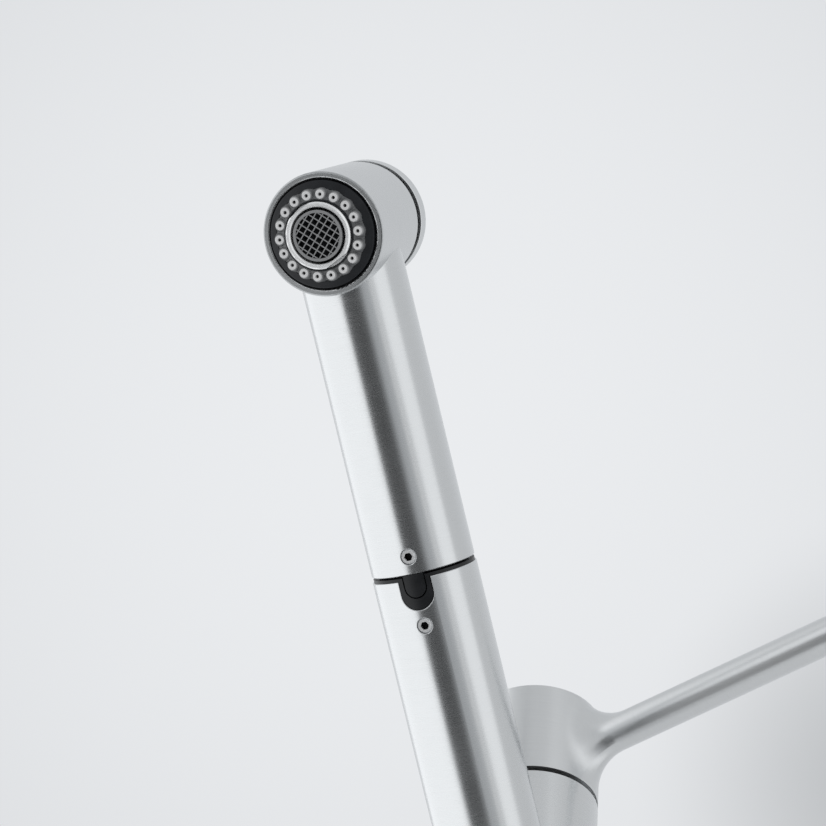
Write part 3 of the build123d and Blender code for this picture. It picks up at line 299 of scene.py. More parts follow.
def backdrop_colour(tree):
    """By the cosine of the angle off the view: the backdrop, its darker edge, and the room. The painted shadow of the
    lever's rod, a patch of shade, grows with the square of its own share."""
    towards = node(tree, "ShaderNodeTexCoord").outputs["Generated"]
    facing = vectors(tree, "DOT_PRODUCT", towards, list(VIEW))
    middle, edge = BACKDROP_FADES
    wall = blend_colours(tree, span(tree, facing, cos(edge), cos(middle)), BACKDROP_EDGE, BACKDROP)
    shade = VIEW + CAMERA_RIGHT * SHADE_PLACE[0] + CAMERA_UP * SHADE_PLACE[1]
    near = vectors(tree, "DOT_PRODUCT", towards, list(shade / np.linalg.norm(shade)))
    near = span(tree, near, cos(SHADE_REACH), 1.0)
    wall = blend_colours(tree, maths(tree, "MULTIPLY", near, near), wall, SHADE)
    return blend_colours(tree, span(tree, facing, *ROOM_FADES), BESIDE_IT, wall)


def set_surroundings():
    """Camera, glossy and transmission rays see the backdrop. Matt surfaces get an even light."""
    world = bpy.data.worlds.new("studio")
    bpy.context.scene.world = world
    world.use_nodes = True
    tree = world.node_tree
    tree.nodes.clear()
    rays = node(tree, "ShaderNodeLightPath").outputs
    seen = maths(tree, "ADD", rays["Is Camera Ray"], rays["Is Glossy Ray"])
    seen = maths(tree, "ADD", seen, rays["Is Transmission Ray"], clamp=True)
    matt = node(tree, "ShaderNodeBackground", {"Color": (1, 1, 1, 1), "Strength": SURROUND_ON_MATT})
    shown = node(tree, "ShaderNodeBackground", {"Color": backdrop_colour(tree), "Strength": 1.0})
    mix = node(tree, "ShaderNodeMixShader", {0: seen, 1: matt.outputs[0], 2: shown.outputs[0]})
    node(tree, "ShaderNodeOutputWorld", {"Surface": mix.outputs[0]})


set_surroundings()
print("surroundings", BACKDROP, BESIDE_IT)

# %% Lamps
SEEN_MIDDLE = 0.10  # down the tube, about the middle of what the picture shows
PANELS = (  # degrees to the right of the tube's front, distance, width, length and glow
    ("left_panel", -73.5, 0.6, 1.68, 2.2, 0.54),
    ("right_panel", 78, 0.9, 0.55, 2.0, 0.37),
)


def round_the_tube(degrees_right, distance, along=SEEN_MIDDLE):
    """A point beside the tube: straight out of its front turned by so many degrees to the right."""
    angle = radians(degrees_right)
    return place(TUBE, sin(angle) * distance, cos(angle) * distance, along)


def soft_panel(name, at, towards, width, length, glow):
    """A rectangular area lamp whose face has the brightness glow. Its length runs along the tube."""
    data = bpy.data.lights.new(name, "AREA")
    data.shape, data.size, data.size_y = "RECTANGLE", width, length
    data.energy = glow * pi * width * length
    lamp = bpy.data.objects.new(name, data)
    back = Vector(at - towards).normalized()
    along = Vector(DOWN_THE_TUBE)
    side = along.cross(back).normalized()
    turn = Matrix((side, back.cross(side), back)).transposed().to_4x4()
    lamp.matrix_world = Matrix.Translation(at) @ turn
    lamp.visible_camera = False
    bpy.context.scene.collection.objects.link(lamp)


MIDDLE = place(TUBE, 0, 0, SEEN_MIDDLE)
for name, degrees_right, distance, *face in PANELS:
    soft_panel(name, round_the_tube(degrees_right, distance), MIDDLE, *face)


# %% Flat sheets
def flat_sheet(name, corners, material):
    """Four corners joined by one face."""
    mesh = bpy.data.meshes.new(name)
    mesh.from_pydata([list(map(float, c)) for c in corners], [], [(0, 1, 2, 3)])
    mesh.materials.append(material)
    made = bpy.data.objects.new(name, mesh)
    bpy.context.scene.collection.objects.link(made)
    return made


print("sheet helper ready")

# %% Dark card
CARD_LEFT, CARD_RIGHT, CARD_AWAY = -18.6, 52.0, 0.62  # degrees to the right of the tube's front, and metres
CARD_ENDS = -0.27, 0.40  # along the tube; a shorter card leaves the lever's rod bright
CARD_SLANT = 0.3  # its left edge leans further left past the head, so that the flat ring of the face reflects it
CARD_SHADES = ((CARD_LEFT, 0.05), (20.0, 0.05), (33.0, 0.46), (46.0, 0.46))  # degrees and brightness
CARD_TINT = 1, 1.03, 1.06  # a touch of blue


def dark_card():
    """Shades over the card's own width: black for the first part from the left, then a grey, and from the last of
    CARD_SHADES on a rise to white at the right edge, which is the stop that a new colour ramp has at its end.
    """
    centre = (CARD_LEFT + CARD_RIGHT) / 2
    half_width = CARD_AWAY * np.tan(radians(CARD_RIGHT - centre))
    middle = round_the_tube(centre, CARD_AWAY)
    side = round_the_tube(centre + 90, 1) - MIDDLE
    material, tree, shader = new_material("dark_card", Base_Color=(0, 0, 0, 1), Emission_Strength=1.0)
    shader.inputs["Specular IOR Level"].default_value = 0
    offset = vectors(tree, "SUBTRACT", object_place(tree), list(middle))
    share = span(tree, vectors(tree, "DOT_PRODUCT", offset, list(side)), -half_width, half_width)
    ramp = node(tree, "ShaderNodeValToRGB", {"Fac": share})
    stops = ramp.color_ramp.elements
    for number, (degrees_right, shade) in enumerate(CARD_SHADES):
        at = 0.5 + CARD_AWAY * np.tan(radians(degrees_right - centre)) / half_width / 2
        stop = stops[0] if number == 0 else stops.new(at)
        stop.position, stop.color = at, (*(shade * tint for tint in CARD_TINT), 1)
    tree.links.new(ramp.outputs[0], shader.inputs["Emission Color"])
    up, down = (DOWN_THE_TUBE * reach for reach in CARD_ENDS)
    lean_up, lean_down = (side * reach * CARD_SLANT for reach in CARD_ENDS)
    left, right = middle - side * half_width, middle + side * half_width
    card = flat_sheet("dark_card", [left + up + lean_up, left + down + lean_down, right + down, right + up], material)
    card.visible_camera = card.visible_diffuse = card.visible_shadow = False


dark_card()
print("card from", CARD_LEFT, "to", CARD_RIGHT, "degrees")

# %% Floor
FLOOR_COLOUR, FLOOR_GLOSS = (0.92, 0.925, 0.935, 1), 0.1
FLOOR_REACH, FLOOR_GAP = 20, 0.0005  # half its width, and how far it lies under the faucet


def studio_floor():
    """Pale from above. From below it lets the view through, because the picture is taken from under its level."""
    material, tree, shader = new_material("studio_floor", Base_Color=FLOOR_COLOUR, Roughness=0.9)
    shader.inputs["Specular IOR Level"].default_value = FLOOR_GLOSS
    below = node(tree, "ShaderNodeNewGeometry").outputs["Backfacing"]
    clear = node(tree, "ShaderNodeBsdfTransparent").outputs[0]
    mix = node(tree, "ShaderNodeMixShader", {0: below, 1: shader.outputs[0], 2: clear})
    tree.links.new(mix.outputs[0], tree.nodes["Material Output"].inputs["Surface"])
    level, reach = cad_box[0].z - FLOOR_GAP, FLOOR_REACH
    corners = [(-reach, -reach, level), (reach, -reach, level), (reach, reach, level), (-reach, reach, level)]
    floor = flat_sheet("studio_floor", corners, material)
    floor.visible_glossy = floor.visible_shadow = False
    return floor


def spare_from_panels(receiver):
    """The panels reach below the floor, and would light it with a hard edge where they cross it."""
    spared = bpy.data.collections.new("spared_from_panels")
    spared.objects.link(receiver)
    spared.collection_objects[0].light_linking.link_state = "EXCLUDE"
    for lamp in bpy.context.scene.objects:
        if lamp.type == "LIGHT":
            lamp.light_linking.receiver_collection = spared


spare_from_panels(studio_floor())

# %% [markdown]
# ## Brushed steel
#
# The tubes are brushed while they turn, so fine scratches run round them, and round their flat ends too. A noise
# that is stretched along the turning direction gives such scratches: its input is the direction round the line,
# which changes slowly, and the height plus the radius, which changes fast. The pattern is a node group, because every
# steel piece uses it round its own line.

# %% Turned grain
NOISE_RANGE = 0.3, 0.7  # nearly all of a noise's values lie between these
GRAIN_SIZES = ((1.0, 0.6), (3.7, 0.4))  # two noises: how wide beside the given width, and their shares
RADIUS_IN_RUN = 0.73  # lets the scratches follow each other inwards on a flat end too
PATCH_SCALE = 45.0
GRAIN, GRAIN_IN, GRAIN_OUT = new_group(
    "turned_grain",
    [
        ("Position", "NodeSocketVector", None),
        ("Scratch Width", "NodeSocketFloat", 0.0002),
        ("Scratch Turn", "NodeSocketFloat", 0.5),
    ],
    [("Scratches", "NodeSocketFloat"), ("Patches", "NodeSocketFloat")],
)


def build_grain(tree, given, out):
    """Noise over (x/r, y/r) / turn and (height + 0.73 radius) / width, in two sizes, and slow patches."""
    arm, height = arm_and_height(tree, given["Position"])
    around = vectors(tree, "NORMALIZE", arm)
    run = maths(tree, "ADD", height, maths(tree, "MULTIPLY", vectors(tree, "LENGTH", arm), RADIUS_IN_RUN))
    noises = []
    for size, share in GRAIN_SIZES:
        turn = maths(tree, "MULTIPLY", given["Scratch Turn"], size**0.5)
        wide = maths(tree, "MULTIPLY", given["Scratch Width"], size)
        inputs = {0: around, 3: maths(tree, "DIVIDE", 1.0, turn)}
        slow = node(tree, "ShaderNodeVectorMath", inputs, operation="SCALE").outputs[0]
        fast = node(tree, "ShaderNodeCombineXYZ", {2: maths(tree, "DIVIDE", run, wide)}).outputs[0]
        inputs = {"Vector": vectors(tree, "ADD", slow, fast), "Scale": 1.0, "Detail": 2.0, "Roughness": 0.6}
        noises.append(maths(tree, "MULTIPLY", node(tree, "ShaderNodeTexNoise", inputs).outputs[0], share))
    scratches = span(tree, maths(tree, "ADD", *noises), *NOISE_RANGE)
    tree.links.new(scratches, out.inputs["Scratches"])
    inputs = {"Vector": given["Position"], "Scale": PATCH_SCALE, "Detail": 2.0}
    patches = node(tree, "ShaderNodeTexNoise", inputs).outputs[0]
    tree.links.new(span(tree, patches, *NOISE_RANGE), out.inputs["Patches"])


build_grain(GRAIN, GRAIN_IN, GRAIN_OUT)
print("group", GRAIN.name, [s.name for s in GRAIN.interface.items_tree])


# %% Spread of the reflections
def tangent_along(tree, at, inside=None, inner=None):
    """The direction that the scratches spread a reflection in: square to them, along the surface."""
    coordinates = object_place(tree)

    def round_line(of):
        offset = vectors(tree, "SUBTRACT", coordinates, list(of["origin"]))
        return vectors(tree, "CROSS_PRODUCT", list(of["turn"][2]), offset)

    scratch = round_line(at)
    if inner is not None:
        scratch = blend_vectors(tree, inside, scratch, round_line(inner))
    settings = {"vector_type": "VECTOR", "convert_from": "OBJECT", "convert_to": "WORLD"}
    turned = node(tree, "ShaderNodeVectorTransform", {0: scratch}, **settings).outputs[0]
    normal = node(tree, "ShaderNodeNewGeometry").outputs["Normal"]
    return vectors(tree, "CROSS_PRODUCT", normal, turned)


print("tangent helper ready")

# %% Brushed steel on one line
# The second steel colour is painted shade: the head's flat face ring is darkened in its colour for the dark
# reflection that it shows.
STEEL, SHADED_FACE_STEEL = (0.665, 0.68, 0.69), (0.36, 0.372, 0.38)
LIGHT_SCRATCH, DARK_SCRATCH, LIGHT_SHADED_FACE = 1.02, 0.975, 1.12  # beside the colour itself
SCRATCH_ROUGHNESS, PATCH_ROUGHNESS = 0.02, 0.012  # how far they move the roughness, up and down
SCRATCH_DEPTH = 0.000002
SCRATCH_WIDTH, SCRATCH_TURN = 0.00016, 0.35
END_FACE_STARTS = 0.0182, 0.0185  # the radius; the face's inner edge stays bright
END_FACE_FADES = 0.0005, 0.0001  # behind the face's height


def tinted(colour, share):
    return [part * share for part in colour]


def brushed_steel(name, at, inner=None, inner_radius=0.0, roughness=0.27, end_face=None):
    """Steel brushed round the line at. Within inner_radius of the line inner, it is brushed round that instead.
    From the height end_face along the inner line on, its colour is darkened as painted shade, for the dark reflection
    that the flat face ring shows."""
    material, tree, shader = new_material(name, Metallic=1.0, Anisotropic=0.55)
    position, inside = own_measures(tree, at), None
    if inner is not None:
        inner_position = own_measures(tree, inner)
        arm, height = arm_and_height(tree, inner_position)
        radius = vectors(tree, "LENGTH", arm)
        inside = maths(tree, "LESS_THAN", radius, inner_radius)
        position = blend_vectors(tree, inside, position, inner_position)
    grain = use_group(tree, GRAIN, Position=position, Scratch_Width=SCRATCH_WIDTH, Scratch_Turn=SCRATCH_TURN)
    colour = blend_colours(tree, grain["Scratches"], tinted(STEEL, DARK_SCRATCH), tinted(STEEL, LIGHT_SCRATCH))
    if end_face is not None:
        ahead = span(tree, height, *(end_face - back for back in END_FACE_FADES))
        face_shaded = maths(tree, "MULTIPLY", ahead, span(tree, radius, *END_FACE_STARTS))
        shaded_steel = blend_colours(tree, grain["Scratches"], SHADED_FACE_STEEL, tinted(SHADED_FACE_STEEL, LIGHT_SHADED_FACE))
        colour = blend_colours(tree, face_shaded, colour, shaded_steel)
    tree.links.new(colour, shader.inputs["Base Color"])
    by_scratch = roughness + SCRATCH_ROUGHNESS, roughness - SCRATCH_ROUGHNESS
    rough = span(tree, grain["Scratches"], 0, 1, *by_scratch)
    rough = maths(tree, "ADD", rough, span(tree, grain["Patches"], 0, 1, -PATCH_ROUGHNESS, PATCH_ROUGHNESS))
    tree.links.new(rough, shader.inputs["Roughness"])
    add_relief(tree, shader, grain["Scratches"], SCRATCH_DEPTH, SOFT_RELIEF)
    tree.links.new(tangent_along(tree, at, inside, inner), shader.inputs["Tangent"])
    return material


HEAD_EDGE, HEAD_FRONT, HUB_EDGE = 0.0202, 0.0203, 0.0236
steel_handset = brushed_steel("steel_handset", TUBE, inner=HEAD, inner_radius=HEAD_EDGE, end_face=HEAD_FRONT)
steel_tube = brushed_steel("steel_tube", TUBE)
steel_button = brushed_steel("steel_button", HEAD)
steel_body = brushed_steel("steel_body", BODY)
steel_lever = brushed_steel("steel_lever", ROD, inner=BODY, inner_radius=HUB_EDGE, roughness=0.34)
print("steel", STEEL)

# %% [markdown]
# ## The other finishes
#
# Each of the remaining finishes has its own small surface story: chrome is nearly a mirror, moulded plastics have a
# fine even texture, rubber is dull, brass is turned, and the zinc-plated clamp parts are mottled.
# Plastics, rubber, ceramic and plated steel differ only in their numbers, so one speckle of two noises serves all.

# %% Speckle
SPECKLE_SIZES = (("Fine", 1.0, 3.0), ("Broad", 12.0, 2.0))  # how wide beside the given size, and detail
SPECKLE, SPECKLE_IN, SPECKLE_OUT = new_group(
    "speckle",
    [("Position", "NodeSocketVector", None), ("Size", "NodeSocketFloat", 0.001)],
    [("Fine", "NodeSocketFloat"), ("Broad", "NodeSocketFloat")],
)


def build_speckle(tree, given, out):
    """Two even noises: one the given size, and one twelve times as wide."""
    for name, size, detail in SPECKLE_SIZES:
        scale = maths(tree, "DIVIDE", 1.0, maths(tree, "MULTIPLY", given["Size"], size))
        inputs = {"Vector": given["Position"], "Scale": scale, "Detail": detail}
        noise = node(tree, "ShaderNodeTexNoise", inputs).outputs[0]
        tree.links.new(span(tree, noise, *NOISE_RANGE), out.inputs[name])


build_speckle(SPECKLE, SPECKLE_IN, SPECKLE_OUT)
print("group", SPECKLE.name)

# %% Moulded and cast finishes
FINE_SHARE, BROAD_SHARE = 0.4, 0.6


def speckled(name, dark, light, rough, size, relief, **values):
    """Colour and roughness between two ends by the speckle, with its fine part as relief."""
    material, tree, shader = new_material(name, **values)
    marks = use_group(tree, SPECKLE, Position=object_place(tree), Size=size)
    broad = maths(tree, "MULTIPLY", marks["Broad"], BROAD_SHARE)
    mixed = maths(tree, "MULTIPLY_ADD", marks["Fine"], FINE_SHARE, broad)
    tree.links.new(blend_colours(tree, mixed, dark, light), shader.inputs["Base Color"])
    tree.links.new(span(tree, mixed, 0, 1, *rough), shader.inputs["Roughness"])
    add_relief(tree, shader, marks["Fine"], relief, FIRM_RELIEF)
    return material


black_plastic = speckled(
    "black_plastic", (0.008, 0.009, 0.010), (0.014, 0.015, 0.017),
    rough=(0.28, 0.36), size=0.00035, relief=0.000004, Specular_IOR_Level=0.3,
)
face_black = speckled(
    "face_black", (0.010, 0.011, 0.013), (0.018, 0.020, 0.023),
    rough=(0.34, 0.42), size=0.0003, relief=0.000006, Specular_IOR_Level=0.15,
)
inner_plastic = speckled(
    "inner_plastic", (0.10, 0.105, 0.11), (0.15, 0.155, 0.16),
    rough=(0.45, 0.55), size=0.0005, relief=0.00001,
)
grille_plastic = speckled(
    "grille_plastic", (0.20, 0.21, 0.215), (0.30, 0.31, 0.315),
    rough=(0.35, 0.45), size=0.0004, relief=0.000006,
)
seal_rubber = speckled(
    "seal_rubber", (0.012, 0.012, 0.013), (0.024, 0.024, 0.026),
    rough=(0.6, 0.75), size=0.0004, relief=0.00001,
)
ceramic = speckled(
    "ceramic", (0.82, 0.80, 0.76), (0.88, 0.87, 0.84),
    rough=(0.22, 0.3), size=0.0005, relief=0.000004,
)
zinc_steel = speckled(
    "zinc_steel", (0.50, 0.50, 0.48), (0.66, 0.66, 0.63),
    rough=(0.3, 0.48), size=0.0012, relief=0.00002, Metallic=1.0,
)
spring_steel = speckled(
    "spring_steel", (0.50, 0.50, 0.49), (0.62, 0.62, 0.61),
    rough=(0.22, 0.32), size=0.0006, relief=0.000005, Metallic=1.0,
)
print("moulded and cast finishes", [m.name for m in (black_plastic, face_black, seal_rubber, zinc_steel)])

# %% Moulded grille
GRILLE_TOP = 0.0258  # along the head's line
# The bars' sides darken with their depth below the grille's top: that is painted shade, darkest at the deeper of the
# two depths.
GRILLE_DARK, GRILLE_LIT = 0.0006, 0.00025  # how far below its top the bars are dark, and grey
GRILLE_GREYS = (0.21, 0.215, 0.22), (0.25, 0.255, 0.26)
GRILLE_SHADE_COLOUR = (0.03, 0.031, 0.033)
GRILLE_ROUGHNESS = 0.36, 0.46
SOFT_SPECKLE = 0.0004


def moulded_grille():
    """Grey on top, and darker down the bars' sides as painted shade, by the depth below the grille's top along the
    head's line.
    """
    material, tree, shader = new_material("grille_grey", Specular_IOR_Level=0.4)
    height = arm_and_height(tree, own_measures(tree, HEAD))[1]
    marks = use_group(tree, SPECKLE, Position=object_place(tree), Size=SOFT_SPECKLE)
    top = blend_colours(tree, marks["Fine"], *GRILLE_GREYS)
    lit = span(tree, height, GRILLE_TOP - GRILLE_DARK, GRILLE_TOP - GRILLE_LIT)
    tree.links.new(blend_colours(tree, lit, GRILLE_SHADE_COLOUR, top), shader.inputs["Base Color"])
    tree.links.new(span(tree, marks["Broad"], 0, 1, *GRILLE_ROUGHNESS), shader.inputs["Roughness"])
    return material


grille_grey = moulded_grille()
print("grille", grille_grey.name)

# %% Chrome, screws and brass
DARK_PATCH = 0.94  # beside the colour itself
TURNED_WIDTH, TURNED_TURN = 0.0003, 1.5
# Painted shade: the set screws' hex sockets are blackened in their colour for the shade inside them.
SOCKET_SHADE, SOCKET_EDGE = (0.01, 0.01, 0.011), 0.0002
SOCKET_MOUTH = 0.0163  # inside the two set screws' hexagon sockets, from the tube's line


def turned_metal(name, at, colour, rough, relief, width=TURNED_WIDTH, black_below=None, metallic=1.0):
    """Metal with faint turning marks round a line, blackened with painted shade nearer to the line than black_below,
    for the shade inside a screw's hex socket.
    """
    material, tree, shader = new_material(name, Metallic=metallic)
    position = own_measures(tree, at)
    grain = use_group(tree, GRAIN, Position=position, Scratch_Width=width, Scratch_Turn=TURNED_TURN)
    shown = blend_colours(tree, grain["Patches"], tinted(colour, DARK_PATCH), colour)
    if black_below is not None:
        radius = vectors(tree, "LENGTH", arm_and_height(tree, position)[0])
        outside = span(tree, radius, black_below - SOCKET_EDGE, black_below)
        shown = blend_colours(tree, outside, SOCKET_SHADE, shown)
    tree.links.new(shown, shader.inputs["Base Color"])
    tree.links.new(span(tree, grain["Scratches"], 0, 1, *rough), shader.inputs["Roughness"])
    add_relief(tree, shader, grain["Scratches"], relief, SOFT_RELIEF)
    return material


chrome_on_head = turned_metal(
    "chrome_on_head", HEAD, (0.82, 0.83, 0.84), rough=(0.22, 0.25), relief=0.0000003, metallic=0.6
)
chrome_on_body = turned_metal("chrome_on_body", BODY, (0.80, 0.81, 0.82), rough=(0.05, 0.09), relief=0.000001)
screw_steel = turned_metal(
    "screw_steel", TUBE, (0.78, 0.79, 0.80), rough=(0.22, 0.27), relief=0.000001,
    black_below=SOCKET_MOUTH, metallic=0.5,
)
brass = turned_metal("brass", BODY, (0.78, 0.58, 0.30), rough=(0.22, 0.34), relief=0.00001, width=0.0006)
print("materials", len(bpy.data.materials))

# %% [markdown]
# ## Finishes on the CAD pieces
#
# Each CAD piece names a finish in the record, its slot. Most slots are one material everywhere. Brushed and polished
# metal depend on the line that the piece was turned on, so those pieces are named one by one.

# %% Give every CAD piece its finish
BY_SLOT = {
    "black_plastic": black_plastic,
    "face_black": face_black,
    "grille_plastic": grille_plastic,
    "inner_plastic": inner_plastic,
    "seal_rubber": seal_rubber,
    "ceramic": ceramic,
    "zinc_steel": zinc_steel,
    "spring_steel": spring_steel,
    "brass": brass,
    "brushed_metal": steel_body,
    "polished_metal": chrome_on_body,
    "nozzle_rubber": grille_plastic,
}
BY_PIECE = {
    "handset_shell": steel_handset,
    "spout_tube": steel_tube,
    "diverter_button": steel_button,
    "lever_handle": steel_lever,
    "aerator_ring": chrome_on_head,
    "aerator_grille": grille_grey,
    "aerator_core": face_black,
    "handset_set_screw": screw_steel,
    "dock_set_screw": screw_steel,
}


def finish_cad_pieces():
    """Puts each piece's material in all its slots, and lists the pieces by material."""
    used = {}
    for name, piece in frame["nodes"].items():
        slot = piece.material_slots[0].material.name.split(".")[0]
        chosen = BY_PIECE.get(name, BY_SLOT[slot])
        for place_in_list in piece.material_slots:
            place_in_list.material = chosen
        used.setdefault(chosen.name, []).append(name)
    return used


for finish, names in sorted(finish_cad_pieces().items()):
    print(finish, len(names), names[:4])

# %% [markdown]
# ## A mesh from a grid
#
# The new pieces are surfaces over two parameters. numpy works out all their points at once, and this helper joins
# neighbours in the grid into faces, closing it in either direction where the surface comes round to itself.


# %% Grid helper
def grid_faces(rows, columns, close_rows=True, close_columns=True):
    """Squares between neighbouring grid points. A closed direction joins its last line to its first."""
    a = np.arange(rows if close_rows else rows - 1)
    b = np.arange(columns if close_columns else columns - 1)
    i, j = np.meshgrid(a, b, indexing="ij")
    i2, j2 = (i + 1) % rows, (j + 1) % columns
    corners = [i * columns + j, i2 * columns + j, i2 * columns + j2, i * columns + j2]
    return np.stack(corners, axis=-1).reshape(-1, 4)


print("a ring of 3 by 4 has", len(grid_faces(3, 4)), "faces")


# %% Piece helper
def make_piece(name, points, faces, body, material, values=None):
    """A mesh object at the origin from points and square faces, riding on a body."""
    mesh = bpy.data.meshes.new(name)
    points, faces = points.reshape(-1, 3), np.asarray(faces, np.int32)
    mesh.vertices.add(len(points))
    mesh.vertices.foreach_set("co", points.astype(np.float32).ravel())
    mesh.loops.add(faces.size)
    mesh.loops.foreach_set("vertex_index", faces.ravel())
    mesh.polygons.add(len(faces))
    mesh.polygons.foreach_set("loop_start", np.arange(0, faces.size, 4, dtype=np.int32))
    mesh.polygons.foreach_set("loop_total", np.full(len(faces), 4, np.int32))
    mesh.update(calc_edges=True)
    mesh.validate()
    mesh.shade_smooth()
    for title, numbers in (values or {}).items():
        attribute = mesh.attributes.new(title, "FLOAT", "POINT")
        attribute.data.foreach_set("value", np.asarray(numbers, np.float32).ravel())
    mesh.materials.append(material)
    piece = bpy.data.objects.new(name, mesh)
    bpy.context.scene.collection.objects.link(piece)
    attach(piece, body)
    print(name, len(points), "points", len(faces), "faces")
    return piece


print("piece helper ready")

# %% [markdown]
# ## The soft spray nozzles
#
# Eighteen silicone nozzles stand in one moulded band round the outlet. The band's outer edge bulges round each of
# them. The CAD ring has plain cones, so this piece takes its place: a height over the angle and the radius, with a
# flat crown, a bore in the middle and a soft foot for each nozzle. The tips all end in one plane, while the band
# between them follows the black cone.

# %% Nozzle material
# The gap, flank and bore colours are painted shade between the nozzles, down their flanks and in their bores. The
# tips show the silicone's own light grey.
SILICONE_GAP_SHADE, SILICONE_FLANK_SHADE, SILICONE_TIP = (0.10, 0.104, 0.108), (0.32, 0.325, 0.33), (0.66, 0.665, 0.67)
SILICONE_DUST, SILICONE_BORE_SHADE = (0.3, 0.31, 0.315), (0.008, 0.008, 0.009)
FLANK_RISES, TIP_RISES, DUST_SHARE = (0.0, 0.6), (0.84, 0.95), 0.12
SILICONE_DEPTH, SILICONE_ROUGHNESS = 0.000008, (0.42, 0.52)


def soft_silicone():
    """Light grey silicone, with painted shade making it darker between the nozzles, down their flanks and in their
    bores, by the piece's own rise and bore values.
    """
    material, tree, shader = new_material("soft_silicone")
    marks = use_group(tree, SPECKLE, Position=object_place(tree), Size=SOFT_SPECKLE)
    rise = node(tree, "ShaderNodeAttribute", attribute_name="rise").outputs["Fac"]
    bore = node(tree, "ShaderNodeAttribute", attribute_name="bore").outputs["Fac"]
    flank = blend_colours(tree, span(tree, rise, *FLANK_RISES), SILICONE_GAP_SHADE, SILICONE_FLANK_SHADE)
    tipped = blend_colours(tree, span(tree, rise, *TIP_RISES), flank, SILICONE_TIP)
    dusty = blend_colours(tree, maths(tree, "MULTIPLY", marks["Fine"], DUST_SHARE), tipped, SILICONE_DUST)
    tree.links.new(blend_colours(tree, bore, dusty, SILICONE_BORE_SHADE), shader.inputs["Base Color"])
    tree.links.new(span(tree, marks["Broad"], 0, 1, *SILICONE_ROUGHNESS), shader.inputs["Roughness"])
    add_relief(tree, shader, marks["Fine"], SILICONE_DEPTH, SOFT_RELIEF)
    return material


silicone = soft_silicone()
print("nozzle material", silicone.name)

# %% Measures of the nozzle band
FACE_FOOT, FACE_FOOT_R = 0.0211, 0.01695  # the black cone's edge: its height and radius
FACE_RISE, FACE_TOP_R = 0.0040, 0.01075  # and how far it rises to the outlet ring
NOZZLES, NOZZLE_CIRCLE, FIRST_NOZZLE = 18, 0.0131, radians(13.9)
BAND_IN, BAND_OUT, BAND_SUNK, BAND_FLOOR = 0.0114, 0.01475, 0.00025, 0.0203
BAND_EDGE, BAND_EDGE_DROP = 0.06, 0.0002  # the share of its width that each edge is rounded over, and how deep
TIP_RADIUS, FOOT_RADIUS, TIP_LEVEL = 0.00142, 0.00198, 0.02488
FLANK_DROP = 0.0013  # from a tip's edge to the foot's
TIP_ROUND, TIP_ROUND_LEVEL = 0.00008, 0.00001  # how soft a tip's edge is, and what keeps the crown level with it
FOOT_ROUND, OUTER_ROUND, INNER_ROUND = 0.00012, 0.0002, 0.0001
BORE_RADIUS, BORE_EDGE, BORE_DEPTH = 0.00052, 0.00012, 0.0016
RISE_DEPTH = 0.0010  # the rise value falls from 1 at the tips to 0 this far below them
COLUMNS_A_NOZZLE, ROWS_ACROSS = 56, 62
print(NOZZLES, "nozzles on a circle of radius", NOZZLE_CIRCLE)


# %% Helpers for heights
def cone_height(r):
    """The black cone's height at a radius: a straight rise from its edge to the outlet."""
    return FACE_FOOT + FACE_RISE * (FACE_FOOT_R - r) / (FACE_FOOT_R - FACE_TOP_R)


def ease(x):
    """0 below 0, 1 above 1, and smooth in between."""
    x = np.clip(x, 0, 1)
    return x * x * (3 - 2 * x)


def larger(a, b, softness):
    """The larger of two values, with the corner between them rounded over about the softness."""
    return (a + b + np.sqrt((a - b) ** 2 + softness**2)) / 2


print("the cone is", round(float(cone_height(NOZZLE_CIRCLE)), 5), "high under the nozzles")


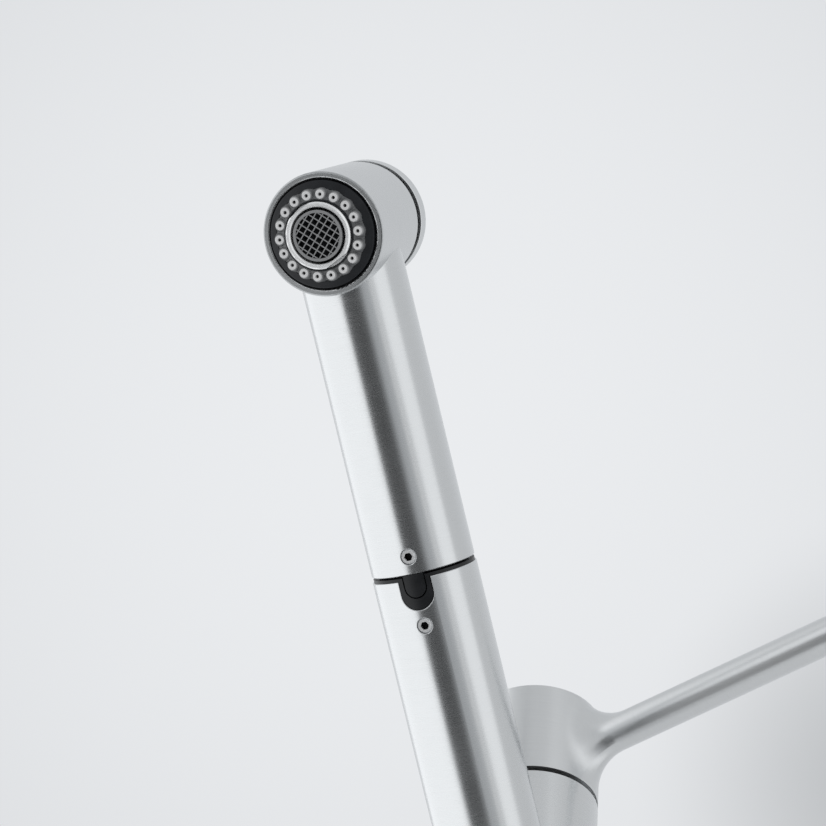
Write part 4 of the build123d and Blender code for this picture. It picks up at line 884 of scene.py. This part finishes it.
# %% Nozzle band
def nozzle_band():
    """Over the angle and the radius, the larger of two heights: the cone less the depth it is sunk, and round each
    nozzle the tip's level, which falls to the foot outside the tip's radius. The bore is taken off that.
    The band's two edges are circles, pushed out where the round foot of a nozzle reaches past them.
    """
    turns = NOZZLES * COLUMNS_A_NOZZLE
    angle = np.linspace(0, tau, turns, endpoint=False)[:, None]
    nearest = np.round((angle - FIRST_NOZZLE) * NOZZLES / tau) * tau / NOZZLES + FIRST_NOZZLE
    turned = angle - nearest
    reach = np.sqrt(np.clip(FOOT_RADIUS**2 - (NOZZLE_CIRCLE * np.sin(turned)) ** 2, 0, None))
    outer = larger(BAND_OUT, NOZZLE_CIRCLE * np.cos(turned) + reach, OUTER_ROUND)
    inner = -larger(-BAND_IN, -NOZZLE_CIRCLE * np.cos(turned) + reach, INNER_ROUND)
    share = np.linspace(0, 1, ROWS_ACROSS)[None, :]
    r = inner + (outer - inner) * share
    away = np.hypot(r * np.cos(turned) - NOZZLE_CIRCLE, r * np.sin(turned))
    fall = FLANK_DROP / (FOOT_RADIUS - TIP_RADIUS)
    crown = TIP_LEVEL - fall * (larger(0, away - TIP_RADIUS, TIP_ROUND) - TIP_ROUND_LEVEL)
    edge = ease(np.minimum(share, 1 - share) / BAND_EDGE)
    band = cone_height(r) - BAND_SUNK - BAND_EDGE_DROP * (1 - edge)
    bore = 1 - ease((away - BORE_RADIUS + BORE_EDGE / 2) / BORE_EDGE)
    height = larger(band, crown, FOOT_ROUND) - bore * BORE_DEPTH
    rise = np.clip(1 - (TIP_LEVEL - crown) / RISE_DEPTH, 0, 1)
    floor, pad = np.full_like(angle, BAND_FLOOR), np.zeros_like(angle)
    radii = np.concatenate([inner, r, outer], axis=1)
    heights = np.concatenate([floor, height, floor], axis=1)
    points = place(HEAD, radii * np.cos(angle), radii * np.sin(angle), heights)
    values = {"rise": np.concatenate([pad, rise, pad], axis=1), "bore": np.concatenate([pad, bore, pad], axis=1)}
    faces = grid_faces(turns, ROWS_ACROSS + 2)[:, ::-1]  # turned round, so that they point outwards
    return make_piece("nozzle_band", points, faces, "handset", silicone, values)


band = nozzle_band()
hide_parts("nozzle_ring")

# %% [markdown]
# ## The button's spring
#
# An open coil of steel wire pushes the button back. It has to get shorter as the button goes in, which the CAD
# spring's stiff shape can't do. Here it is drawn as a round wire along a helix instead, riding on the handset at one
# fixed length.

# %% Button spring
COIL_RADIUS, WIRE_RADIUS, COIL_TURNS = 0.0066, 0.0004, 4
COIL_AT_BUTTON, COIL_AT_HEAD = -0.02695, -0.01815  # the wire's centre at its two ends, along the head's line
POINTS_A_TURN, POINTS_ROUND_WIRE = 48, 12


def button_coil():
    """The wire's centre runs round a circle while it climbs, and a small circle square to its run makes it round.
    Strips of squares across the two end circles close it.
    """
    along, round_wire = POINTS_A_TURN * COIL_TURNS, POINTS_ROUND_WIRE
    share = np.linspace(0, 1, along)[:, None]
    angle = tau * COIL_TURNS * share
    climb = (COIL_AT_HEAD - COIL_AT_BUTTON) / (tau * COIL_TURNS * COIL_RADIUS)
    lean = np.hypot(1, climb)
    turn = np.linspace(0, tau, round_wire, endpoint=False)[None, :]
    outward, upward = WIRE_RADIUS * np.cos(turn), WIRE_RADIUS * np.sin(turn)
    x = (COIL_RADIUS + outward) * np.cos(angle) + upward * np.sin(angle) * climb / lean
    y = (COIL_RADIUS + outward) * np.sin(angle) - upward * np.cos(angle) * climb / lean
    z = COIL_AT_BUTTON + (COIL_AT_HEAD - COIL_AT_BUTTON) * share + upward / lean
    first = np.arange(round_wire // 2 - 1)
    cap = np.stack([first, first + 1, round_wire - 2 - first, round_wire - 1 - first], axis=-1)
    last = cap[:, ::-1] + (along - 1) * round_wire
    faces = np.concatenate([grid_faces(along, round_wire, close_rows=False), cap, last])
    return make_piece("button_coil", place(HEAD, x, y, z), faces, "handset", spring_steel)


coil = button_coil()
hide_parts("button_spring")
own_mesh(coil)
